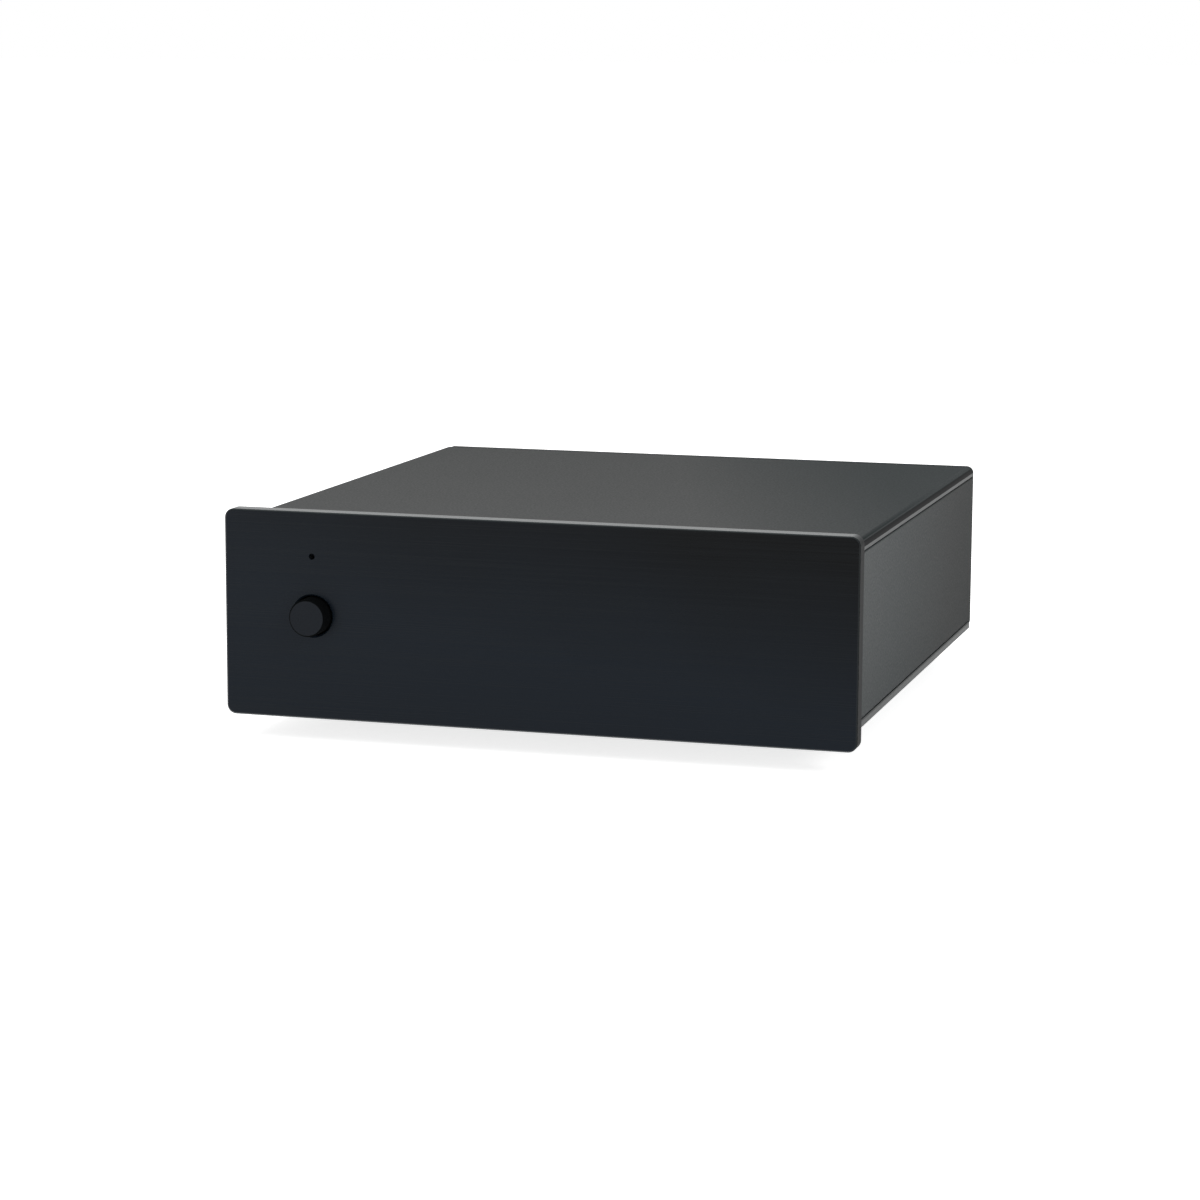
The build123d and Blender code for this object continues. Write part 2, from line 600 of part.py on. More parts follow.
for channel, socket_x in SOCKETS.items():
    axis = [(socket_x, CASE_MID_Z)]
    with BuildPart() as socket_body:
        with BuildSketch(Plane.XY.offset(BOARD_Z1)):
            with Locations((socket_x, SOCKET_Y0 + SOCKET_L / 2)):
                Rectangle(SOCKET_W, SOCKET_L)
        extrude(amount=SOCKET_H)
        chamfer(socket_body.edges().filter_by(Axis.Y).group_by(Axis.Z)[-1], SOCKET_BODY_BEVEL)
        rod(axis, SOCKET_Y1, COLLAR_Y1, SOCKET_COLLAR_R)
        hole(axis, SHELL_Y0, COLLAR_Y1, SOCKET_SEAT_R)
    write(socket_body, f"{channel}_socket_body")

    with BuildPart() as socket_shell:
        rod(axis, COLLAR_Y1, SOCKET_RIM_Y, SOCKET_SHELL_R)
        rod(axis, SHELL_Y0, COLLAR_Y1, SOCKET_SEAT_R)
        hole(axis, SHELL_Y0, SOCKET_RIM_Y, SHELL_BORE_R)
        chamfer(socket_shell.edges().group_by(Axis.Y)[-1].sort_by(SortBy.RADIUS)[-1], SOCKET_RIM_BEVEL)
    write(socket_shell, f"{channel}_socket_shell")

    with BuildPart() as socket_insulator:
        rod(axis, SHELL_Y0, SOCKET_RIM_Y - INSULATOR_RECESS, SHELL_BORE_R)
        hole(axis, CONTACT_Y0, SOCKET_RIM_Y, CONTACT_R)
        mouth = socket_insulator.faces().sort_by(Axis.Y)[-1].inner_wires().edges()
        chamfer(mouth, INSULATOR_LEAD_IN)
    write(socket_insulator, f"{channel}_socket_insulator")

with BuildPart() as socket_contacts:
    rod(socket_places, CONTACT_Y0, CONTACT_Y1, CONTACT_R)
    hole(socket_places, CONTACT_Y0 + CONTACT_FLOOR_T, CONTACT_Y1, CONTACT_BORE_R)
write(socket_contacts, "socket_contacts")

# --- Ground terminal ----------------------------------------------------------------------

GROUND_PLACE = [(GROUND_X, CASE_MID_Z)]
LOCK_NUT_Y1 = REAR_Y1 + LOCK_NUT_T
WASHER_Y1 = LOCK_NUT_Y1 + WASHER_T
THUMB_NUT_Y1 = WASHER_Y1 + THUMB_COLLAR_T + THUMB_NUT_T

with BuildPart() as ground_post:
    rod(GROUND_PLACE, REAR_Y0, REAR_Y1 + POST_PROUD, POST_R)
    chamfer(ground_post.edges().group_by(Axis.Y)[-1], POST_BEVEL)
    with BuildSketch(upright(REAR_Y0)):
        with Locations(*GROUND_PLACE):
            RegularPolygon(POST_HEAD_FLATS / 2, 6, major_radius=False)
    extrude(amount=POST_HEAD_T)
write(ground_post, "ground_post")

with BuildPart() as ground_lock_nut:
    with BuildSketch(upright(LOCK_NUT_Y1)):
        with Locations(*GROUND_PLACE):
            RegularPolygon(LOCK_NUT_FLATS / 2, 6, major_radius=False)
            Circle(POST_R, mode=Mode.SUBTRACT)
    extrude(amount=LOCK_NUT_T)
write(ground_lock_nut, "ground_lock_nut")

with BuildPart() as ground_washer:
    rod(GROUND_PLACE, LOCK_NUT_Y1, WASHER_Y1, WASHER_R)
    hole(GROUND_PLACE, LOCK_NUT_Y1, WASHER_Y1, POST_R + RUNNING_GAP)
write(ground_washer, "ground_washer")

with BuildPart() as ground_thumb_nut:
    with BuildSketch(upright(THUMB_NUT_Y1)):
        with Locations(*GROUND_PLACE):
            Circle(THUMB_NUT_R)
            with PolarLocations(THUMB_NUT_R, KNURL_COUNT):
                RegularPolygon(KNURL_DEPTH, 4, mode=Mode.SUBTRACT)
    extrude(amount=THUMB_NUT_T)
    rod(GROUND_PLACE, WASHER_Y1, WASHER_Y1 + THUMB_COLLAR_T, THUMB_COLLAR_R)
    hole(GROUND_PLACE, WASHER_Y1, THUMB_NUT_Y1, POST_R + RUNNING_GAP)
write(ground_thumb_nut, "ground_thumb_nut")

# --- Supply jack --------------------------------------------------------------------------

JACK_PLACE = [(JACK_X, CASE_MID_Z)]
JACK_Y1 = REAR_Y0 - BODY_REAR_GAP
NOSE_Y1 = REAR_Y1 + JACK_NOSE_PROUD
JACK_FLOOR_Y = NOSE_Y1 - JACK_BORE_L

with BuildPart() as supply_jack:
    with BuildSketch(Plane.XY.offset(BOARD_Z1)):
        with Locations((JACK_X, JACK_Y1 - JACK_L / 2)):
            Rectangle(JACK_W, JACK_L)
    extrude(amount=JACK_H)
    chamfer(supply_jack.edges().filter_by(Axis.Y).group_by(Axis.Z)[-1], JACK_BEVEL)
    rod(JACK_PLACE, JACK_Y1, NOSE_Y1, JACK_NOSE_R)
    hole(JACK_PLACE, JACK_FLOOR_Y, NOSE_Y1, JACK_BORE_R)
    hole(JACK_PLACE, JACK_FLOOR_Y - JACK_PIN_SEAT, NOSE_Y1, JACK_PIN_SEAT_R)
write(supply_jack, "supply_jack")

with BuildPart() as supply_jack_pin:
    rod(JACK_PLACE, JACK_FLOOR_Y, NOSE_Y1 - JACK_PIN_RECESS, JACK_PIN_R)
    rod(JACK_PLACE, JACK_FLOOR_Y - JACK_PIN_SEAT, JACK_FLOOR_Y, JACK_PIN_SEAT_R)
    chamfer(supply_jack_pin.edges().group_by(Axis.Y)[-1], JACK_PIN_BEVEL)
write(supply_jack_pin, "supply_jack_pin")

# --- Setting switches ---------------------------------------------------------------------

WAY_OFFSETS = [(way - (BANK_WAYS - 1) / 2) * BANK_PITCH for way in range(BANK_WAYS)]
SLOT_W = SLIDER_W + 2 * SLIDER_GAP
SLOT_L = SLIDER_L + SLIDER_TRAVEL + 2 * SLIDER_GAP
SLIDER_Y = BANK_Y - SLIDER_TRAVEL / 2

for side, bank_x in BANK_PLACES.items():
    slot_places = [(bank_x + offset, BANK_Y) for offset in WAY_OFFSETS]
    with BuildPart() as setting_switch:
        with BuildSketch(Plane.XY.offset(BANK_Z0)):
            with Locations((bank_x, BANK_Y)):
                Rectangle(BANK_W, BANK_L)
        extrude(amount=BANK_T)
        chamfer(setting_switch.faces().sort_by(Axis.Z)[0].edges(), BANK_BEVEL)
        # Each slot widens inside, so that the slider's flange is held in.
        with BuildSketch(Plane.XY.offset(BANK_Z0)):
            with Locations(*slot_places):
                Rectangle(SLOT_W, SLOT_L)
        extrude(amount=BANK_T, mode=Mode.SUBTRACT)
        with BuildSketch(Plane.XY.offset(BANK_Z0 + SLIDER_FACE_T)):
            with Locations(*slot_places):
                Rectangle(SLOT_W + 2 * SLIDER_FLANGE, SLOT_L + 2 * SLIDER_FLANGE)
        extrude(amount=BANK_T - SLIDER_FACE_T, mode=Mode.SUBTRACT)
    write(setting_switch, f"setting_switch_{side}")

    for way, offset in enumerate(WAY_OFFSETS, start=1):
        with BuildPart() as slider:
            with BuildSketch(Plane.XY.offset(BANK_Z0 - SLIDER_PROUD)):
                with Locations((bank_x + offset, SLIDER_Y)):
                    Rectangle(SLIDER_W, SLIDER_L)
            extrude(amount=SLIDER_PROUD + SLIDER_FACE_T + SLIDER_GAP)
            chamfer(slider.faces().sort_by(Axis.Z)[0].edges(), SLIDER_BEVEL)
            with BuildSketch(Plane.XY.offset(BANK_Z0 + SLIDER_FACE_T + SLIDER_GAP)):
                with Locations((bank_x + offset, SLIDER_Y)):
                    Rectangle(SLIDER_W + 2 * SLIDER_FLANGE, SLIDER_L + 2 * SLIDER_FLANGE)
            extrude(amount=SLIDER_FLANGE_T)
        write(slider, f"setting_slider_{side}_{way}")

# --- Screws -------------------------------------------------------------------------------

with BuildPart() as rear_panel_screws:
    rod(CHANNEL_PLACES, REAR_Y1 - RAIL_SCREW_L, REAR_Y1, SCREW_R)
    rod(CHANNEL_PLACES, REAR_Y1, REAR_Y1 + SCREW_HEAD_T, SCREW_HEAD_R)
write(rear_panel_screws, "rear_panel_screws")

with BuildPart() as subframe_screws:
    # Countersunk, with heads flush in the subframe under the front plate.
    with Locations(upright(PLATE_Y1)):
        with Locations(*CHANNEL_PLACES):
            Cone(
                SCREW_HEAD_R - SINK_T,
                SCREW_HEAD_R,
                SINK_T,
                align=(Align.CENTER, Align.CENTER, Align.MAX),
            )
    rod(CHANNEL_PLACES, PLATE_Y1 + SINK_T / 2, PLATE_Y1 + RAIL_SCREW_L, SINK_SCREW_R)
write(subframe_screws, "subframe_screws")

with BuildPart() as front_plate_screws:
    rod(PLATE_SCREW_PLACES, SUBFRAME_Y1 - PLATE_SCREW_L, SUBFRAME_Y1, SCREW_R)
    rod(PLATE_SCREW_PLACES, SUBFRAME_Y1, SUBFRAME_Y1 + SCREW_HEAD_T, SCREW_HEAD_R)
write(front_plate_screws, "front_plate_screws")

with BuildPart() as board_screws:
    for radius, z0, height in (
        (SCREW_R, BOARD_Z1 - BOARD_SCREW_L, BOARD_SCREW_L),
        (SCREW_HEAD_R, BOARD_Z1, SCREW_HEAD_T),
    ):
        with BuildSketch(Plane.XY.offset(z0)):
            with Locations(*PILLAR_PLACES):
                Circle(radius)
        extrude(amount=height)
write(board_screws, "board_screws")
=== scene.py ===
import math
from collections import namedtuple
from functools import partial

import bmesh
import bpy
from mathutils import Matrix, Vector


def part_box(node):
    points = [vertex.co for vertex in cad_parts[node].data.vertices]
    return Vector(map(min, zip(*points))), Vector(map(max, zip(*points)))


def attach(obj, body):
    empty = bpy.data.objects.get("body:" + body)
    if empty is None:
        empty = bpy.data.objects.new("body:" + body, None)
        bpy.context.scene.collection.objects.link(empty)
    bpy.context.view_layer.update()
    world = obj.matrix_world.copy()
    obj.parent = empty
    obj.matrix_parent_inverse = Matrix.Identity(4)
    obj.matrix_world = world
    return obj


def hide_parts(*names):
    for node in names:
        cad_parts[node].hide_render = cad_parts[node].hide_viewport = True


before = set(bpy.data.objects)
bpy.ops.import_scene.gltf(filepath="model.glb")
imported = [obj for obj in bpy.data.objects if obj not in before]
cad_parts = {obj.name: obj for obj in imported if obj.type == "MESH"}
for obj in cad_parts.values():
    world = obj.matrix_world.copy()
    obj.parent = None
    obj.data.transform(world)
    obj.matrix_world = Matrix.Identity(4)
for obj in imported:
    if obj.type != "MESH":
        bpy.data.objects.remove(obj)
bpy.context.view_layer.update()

bl_info = {
    "name": "Phono preamplifier",
    "version": (1, 0, 0),
    "blender": (4, 5, 0),
    "location": "View3D > Sidebar > Preamplifier",
    "description": "Finishes a phono preamplifier's CAD model and models its turned and moulded details",
    "category": "Add Mesh",
}

MM = 0.001
NEAR = 0.01 * MM  # A point this near to a place counts as being there.
MERGED = 0.001 * MM  # Points this near to each other are one.
SOCKETS = ("in_left", "in_right", "out_left", "out_right")
SIDES = ("left", "right")
FEET = ("front_left", "front_right", "rear_left", "rear_right")
WAYS = range(1, 6)


def linear(hex_colour):
    """An sRGB hex colour as linear red, green, blue and alpha."""
    shares = [int(hex_colour[i:i + 2], 16) / 255 for i in (1, 3, 5)]
    return [s / 12.92 if s <= 0.04045 else ((s + 0.055) / 1.055) ** 2.4 for s in shares] + [1.0]


# --- Settings a user would change ---------------------------------------------------------


def colour(name, description, hex_colour):
    """A colour setting."""
    return bpy.props.FloatVectorProperty(
        name=name, description=description, subtype="COLOR", size=4, min=0, max=1,
        default=linear(hex_colour),
    )


def length(name, description, millimetres):
    """A size setting, given in millimetres and kept in metres."""
    return bpy.props.FloatProperty(
        name=name, description=description, default=millimetres * MM, min=0,
        unit="LENGTH", subtype="DISTANCE", precision=5,
    )


def place(name, description, millimetres):
    """A place in the part's frame, given in millimetres and kept in metres."""
    return bpy.props.FloatVectorProperty(
        name=name, description=description, default=[value * MM for value in millimetres], size=3,
        unit="LENGTH", subtype="XYZ", precision=5,
    )


def angle(name, description, degrees):
    """An angle setting, given in degrees and kept in radians."""
    return bpy.props.FloatProperty(
        name=name, description=description, default=math.radians(degrees), subtype="ANGLE",
    )


def amount(name, description, number, **unit):
    """A plain number."""
    return bpy.props.FloatProperty(name=name, description=description, default=number, min=0, **unit)


def count(name, description, number):
    """A setting for how many of something there are."""
    return bpy.props.IntProperty(name=name, description=description, default=number, min=3)


class PreampFinish(bpy.types.PropertyGroup):
    """Colours and grain sizes of the finishes"""

    deep_dye: colour("Deep dye", "The front plate's dye at the upper right, where it is deepest", "#020304")
    thin_dye: colour("Thin dye", "The same dye at the lower left, where it is thinnest", "#10171f")
    brush_line: colour("Brush line", "The crests of the brushed lines", "#171a1d")
    button: colour("Button", "Dye of the button's end", "#14181e")
    milled_edge: colour("Milled edge", "The plate's milled edges, which take the dye thinly", "#3b4041")
    lower_edge: colour("Lower edge", "Its lower milled edge, which takes the dye least", "#75797a")
    case: colour("Case", "Dye of the anodised covers, rails and rear panel", "#131616")
    case_end: colour("Case end", "The same dye where the bath turned it bluer", "#0a1618")
    case_pit: colour("Blast marks", "The blasted marks, where the light catches", "#222625")
    cut_edge: colour("Cut edge", "The covers' cut side edges", "#202424")
    brush_pitch: length("Brush pitch", "Spacing of the brushed lines across the front plate", 0.35)
    brush_run: length("Brush run", "Length of one brushed line", 45.0)
    blast_grain: length("Blast grain", "Size of the grains of the satin blasted finish", 0.35)
    dye_cloud: length("Dye cloud", "Size of the faint clouds that a dye bath leaves", 26.0)
    turned_pitch: length("Turned pitch", "Spacing of the turned rings on the button", 0.18)
    rubber: colour("Rubber", "Moulded rubber of the feet", "#181818")
    gold: colour("Gold plating", "Plating of the sockets and the ground terminal", "#efc878")
    nickel: colour("Nickel plating", "Plating of nuts, washers, pillars and pins", "#d2ccbe")
    zinc: colour("Zinc plating", "Plating of the steel inside the case", "#b4bac0")
    black_zinc: colour("Black zinc", "Passivated black zinc of the rear screws", "#1b1b1c")
    tin: colour("Tin plating", "Plating of the chips' legs and the regulator's tab", "#c4c6c6")
    can: colour("Capacitor can", "Drawn aluminium of the capacitors' tops", "#c9cbcc")
    black_nylon: colour("Black nylon", "Moulded socket bodies and supply jack", "#121213")
    white_nylon: colour("White nylon", "Moulded left insulators, sliders and plunger", "#dedcd2")
    red_nylon: colour("Red nylon", "Moulded right insulators", "#a81c1c")
    switch_plastic: colour("Power switch", "Moulded body of the power switch", "#17171a")
    setting_plastic: colour("Setting switches", "Moulded bodies of the setting switches", "#1c3f86")
    print_ink: colour("Switch numbers", "Ink of the numbers on the setting switches", "#e6e6e0")
    mask: colour("Solder mask", "Green solder mask of the circuit board", "#11512c")
    track: colour("Tracks", "Copper tracks, seen through the solder mask", "#2b7d45")
    sleeve: colour("Capacitor sleeve", "Shrunk sleeve of the electrolytic capacitors", "#1b2036")
    stripe: colour("Sleeve stripe", "Stripe that marks a capacitor's negative leg", "#b9bcc4")
    film: colour("Film capacitor", "Cast epoxy of the film capacitors", "#8d1f1a")
    epoxy: colour("Chip epoxy", "Moulded epoxy of chips and regulator", "#1a1a1b")
    lamp: colour("Pilot light", "Smoky epoxy of the pilot light, which is off", "#141823")


class PreampSizes(bpy.types.PropertyGroup):
    """Sizes of the turned, moulded and printed details"""

    cover_thick: length("Cover thickness", "Thickness of the top cover", 1.8)
    cover_round: length("Cover rounding", "Rounding of the top cover's upper side edges", 1.1)
    cover_lip: length("Cover lip", "Rounding of its edges down at the grooves", 0.1)
    rim_round: length("Rim rounding", "Rounding of the phono sockets' rims", 0.22)
    contact_wall: length("Contact wall", "Wall of the sprung centre contacts", 0.45)
    contact_slot: length("Contact slot", "Width of the slots in those contacts", 0.45)
    contact_slot_depth: length("Slot depth", "Depth of those slots from the mouth", 5.0)
    contact_pinch: length("Contact pinch", "How far the contacts narrow at the mouth", 0.15)
    post_radius: length("Ground post", "Radius of the ground post over its thread", 2.0)
    nut_gap: length("Nut gap", "Gap between the post and what runs on it", 0.06)
    thread_pitch: length("Thread pitch", "Pitch of the ground post's thread", 0.7)
    thread_depth: length("Thread depth", "Height of that thread's ridges", 0.38)
    thread_lead: length("Thread lead", "Length of the bevel at the post's tip", 0.4)
    thumb_collar: length("Thumb nut collar", "Radius of the thumb nut's plain collar", 3.5)
    thumb_collar_long: length("Collar length", "Length of that collar", 1.4)
    knurls: count("Knurls", "Notches round the thumb nut", 36)
    knurl_depth: length("Knurl depth", "Depth of a notch of the thumb nut", 0.33)
    nut_bevel: length("Nut bevel", "Turned bevel on the nuts' ends", 0.35)
    screw_head: length("Screw head", "Radius of a rear screw's head", 2.35)
    screw_shank: length("Screw shank", "Radius of a rear screw's shank", 1.2)
    key: length("Hexagon key", "Width over the flats of the rear screws' sockets", 2.5)
    key_depth: length("Key depth", "Depth of the hexagon socket in a rear screw", 1.0)
    foot_taper: angle("Foot taper", "Draft of a moulded foot's side", 5.0)
    foot_round: length("Foot rounding", "Rounding of the rubber feet's edge", 0.45)
    foot_dish: length("Foot dish", "Depth of the dish in a foot's sole", 0.5)
    tab_long: length("Tab", "How far the regulator's tab stands out of its epoxy", 1.4)
    pin_neck: length("Pin neck", "Radius of the supply pin where it is held", 0.6)
    pin_long: length("Pin length", "Length of the supply pin in front of its neck", 9.5)
    number_height: length("Number height", "Height of the numbers on the setting switches", 1.25)
    ink_height: length("Ink height", "How far the printed numbers stand proud", 0.02)
    crimp: length("Crimp", "Depth of the groove crimped round a capacitor", 0.45)
    sleeve_fold: length("Sleeve fold", "How far the sleeve folds over a capacitor's top", 0.9)
    leg_wide: length("Chip leg", "Width of a chip's legs", 1.2)
    leg_thick: length("Leg thickness", "Thickness of a chip's legs", 0.25)
    leg_pitch: length("Leg pitch", "Spacing of a chip's legs", 2.54)


class PreampStage(bpy.types.PropertyGroup):
    """Camera, lamps, floor and world"""

    azimuth: angle("Azimuth", "Turn of the camera round the object from straight ahead", 16.288)
    elevation: angle("Elevation", "Height of the camera above the horizon", 9.382)
    roll: angle("Roll", "Clockwise roll of the camera", 0.262)
    distance: length("Distance", "From the camera to the point that it aims at", 516.28)
    aim: place("Aim", "Point that the camera aims at", (9.69, -53.25, 24.75))
    lens: amount("Lens", "Focal length in millimetres", 99.72)
    sensor: amount("Sensor", "Width of the camera's frame in millimetres", 36.0)
    key_power: amount("Key lamp", "Power of the soft lamp at the front left", 4.0, unit="POWER")
    key_size: length("Key size", "Width of that lamp", 500.0)
    key_place: place("Key place", "Middle of that lamp, low beside the camera", (-640.0, -980.0, 100.0))
    side_power: amount("Side lamp", "Power of the soft lamp at the right", 2.0, unit="POWER")
    side_size: length("Side size", "Width of that lamp", 300.0)
    side_place: place("Side place", "Middle of that lamp, high at the right", (750.0, -420.0, 520.0))
    top_power: amount("Top lamp", "Power of the large soft lamp overhead", 5.0, unit="POWER")
    top_size: length("Top size", "Width of that lamp", 800.0)
    top_place: place("Top place", "Middle of that lamp", (-100.0, 100.0, 1100.0))
    world: amount("World", "Strength of the white world's light on the object", 0.5)
    floor: colour("Floor", "Paint of the floor", "#f2f2f2")
    floor_reach: amount("Floor reach", "Half the floor's width in metres", 30.0)
    floor_light: amount("Floor light", "Light that the floor gives back to the object's underside", 0.3)
    floor_glow: amount("Floor glow", "White added to the floor as the camera and gloss see it", 0.78)


# --- Nodes and materials ------------------------------------------------------------------


def add_node(tree, kind, inputs=(), output=0, **settings):
    """Adds a shader node with its settings and links, and gives the output asked for, or all of
    them for None. An input is a value, or another node's output, which is linked to it."""
    node = tree.nodes.new(f"ShaderNode{kind}")
    for name, value in settings.items():
        setattr(node, name, value)
    for socket, value in dict(inputs).items():
        if isinstance(value, bpy.types.NodeSocket):
            tree.links.new(value, node.inputs[socket])
        else:
            node.inputs[socket].default_value = value
    return node.outputs if output is None else node.outputs[output]


def empty_tree(owner):
    """add_node for the emptied node tree of a material or world."""
    owner.use_nodes = True
    owner.node_tree.nodes.clear()
    return partial(add_node, owner.node_tree)


def make_material(name, describe):
    """A material whose Principled inputs are what describe(add, point) gives, where add adds a
    node to it and point is a point's place in the part's frame."""
    material = bpy.data.materials.new(name)
    add = empty_tree(material)
    surface = add("BsdfPrincipled", describe(add, add("TexCoord", output="Object")))
    add("OutputMaterial", {"Surface": surface}, None)
    return material


def shades(paint, low, high):
    """A paint darkened by low and lightened by high, as two colours."""
    return [[*(part * share for part in paint[:3]), 1.0] for share in (low, high)]


def grain(add, inputs, **settings):
    """Noise that runs from 0 to 1: the middle of its range is stretched over the whole."""
    noise = add("TexNoise", inputs, **settings)
    return add("MapRange", {"Value": noise, "From Min": 0.3, "From Max": 0.7})


def mottled(add, point, paint, spot, contrast, gloss, relief=0.0):
    """The colour, roughness and relief of a surface with one fine mottle. spot is the size of its
    spots, contrast the paint's darkest and lightest share, gloss the least and most roughness and
    relief how far the spots stand proud, or 0 for none."""
    dark, light = shades(paint, *contrast)
    spots = grain(add, {"Vector": point, "Scale": 1 / spot, "Detail": 3.0})
    surface = {
        "Base Color": add("Mix", {0: spots, 6: dark, 7: light}, 2, data_type="RGBA"),
        "Roughness": add("MapRange", {"Value": spots, "To Min": gloss[0], "To Max": gloss[1]}),
    }
    if relief:
        surface["Normal"] = add("Bump", {"Height": spots, "Distance": relief, "Strength": 0.5})
    return surface


def brushed_black_anodised_aluminium(finish):
    """Plate brushed along its length, dyed black and sealed: a deep satin face with faint level
    lines, whose dye runs a little thinner and bluer to the lower left. The milled edges are
    smooth and shine at low angles, and the sawn ends are dull. The real lines are 0.05 mm
    apart and are drawn several times coarser, so that they show."""
    low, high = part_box("front_plate")
    across = high - low
    border, bevel, bevel_start, sawn_strip = 2.0 * MM, 0.3 * MM, 0.05 * MM, 1.4 * MM
    least_gloss, most_gloss, milled_gloss, sawn_gloss = 0.22, 0.3, 0.24, 0.62
    cloud_share, crest_share = 0.5, 0.35
    to_lower_left = (-0.75 / across.x, 0, -1.25 / across.z)

    def describe(add, point):
        centred = add("VectorMath", {0: point, 1: (low + high) / 2}, operation="SUBTRACT")
        # The dye, from 0 at the upper right to 1 at the lower left, with slow clouds.
        slope = add("VectorMath", {0: centred, 1: to_lower_left}, "Value", operation="DOT_PRODUCT")
        cloud = add("TexNoise", {"Vector": point, "Scale": 1 / finish.dye_cloud})
        cloudy = add("Math", {0: cloud, 1: cloud_share, 2: slope}, operation="MULTIPLY_ADD")
        thin = add("MapRange", {"Value": cloudy, "From Min": -0.6, "From Max": 0.4})
        # The brushed lines.
        per_metre = (1 / finish.brush_run, 1 / finish.brush_pitch, 1 / finish.brush_pitch)
        drawn = add("Mapping", {"Vector": point, "Scale": per_metre})
        lines = grain(add, {"Vector": drawn, "Scale": 1.0, "Detail": 4.0, "Roughness": 0.7})
        crests = add("Math", {0: lines, 1: crest_share}, operation="MULTIPLY")
        # How far a point lies inside the plate's ends and sides, and behind its face.
        outward = add("VectorMath", {0: centred}, operation="ABSOLUTE")
        past = add("VectorMath", {0: outward, 1: across / 2}, operation="SUBTRACT")
        past_ends, _, past_sides = add("SeparateXYZ", {"Vector": past}, None)
        behind = add("SeparateXYZ", {"Vector": point}, "Y")
        nearest = add("Math", {0: past_ends, 1: past_sides}, operation="MAXIMUM")
        at_border = add("MapRange", {"Value": nearest, "From Min": -border, "From Max": -border * 0.9})
        bevelled = {"Value": behind, "From Min": low.y + bevel_start, "From Max": low.y + bevel}
        off_face = add("MapRange", bevelled)
        milled = add("Math", {0: at_border, 1: off_face}, operation="MULTIPLY")
        end = add("MapRange", {"Value": past_ends, "From Min": -sawn_strip, "From Max": 0.0})
        sawn = add("Math", {0: milled, 1: end}, operation="MULTIPLY")
        # The paints, one over the other. The lower edge is the bevel below, and not the underside.
        dye = add("Mix", {0: thin, 6: finish.deep_dye, 7: finish.thin_dye}, 2, data_type="RGBA")
        streaked = add("Mix", {0: crests, 6: dye, 7: finish.brush_line}, 2, data_type="RGBA")
        height = add("SeparateXYZ", {"Vector": centred}, "Z")
        below = {0: height, 1: (bevel - across.z) / 2, 2: bevel * 0.45}
        lower = add("Math", below, operation="COMPARE")
        edge = add("Mix", {0: lower, 6: finish.milled_edge, 7: finish.lower_edge}, 2, data_type="RGBA")
        edged = add("Mix", {0: milled, 6: streaked, 7: edge}, 2, data_type="RGBA")
        face_gloss = add("MapRange", {"Value": lines, "To Min": least_gloss, "To Max": most_gloss})
        edge_gloss = add("Mix", {0: milled, 2: face_gloss, 3: milled_gloss})
        return {
            "Base Color": add("Mix", {0: sawn, 6: edged, 7: finish.deep_dye}, 2, data_type="RGBA"),
            "Roughness": add("Mix", {0: sawn, 2: edge_gloss, 3: sawn_gloss}),
            "Specular IOR Level": 0.085,
            "Normal": add("Bump", {"Height": lines, "Distance": 0.005 * MM, "Strength": 0.5}),
        }
    return make_material("brushed_black_anodised_aluminium", describe)


# Where a case's dye turns bluer: from start to full, as distances from the case's middle along
# direction. The blast is rougher there by extra.
BlueEnd = namedtuple("BlueEnd", "direction start full extra")
# A stretch of a cover with its own paint and roughness, between two distances from the middle
# plane and between two heights.
Patch = namedtuple("Patch", "reach heights paint roughness")


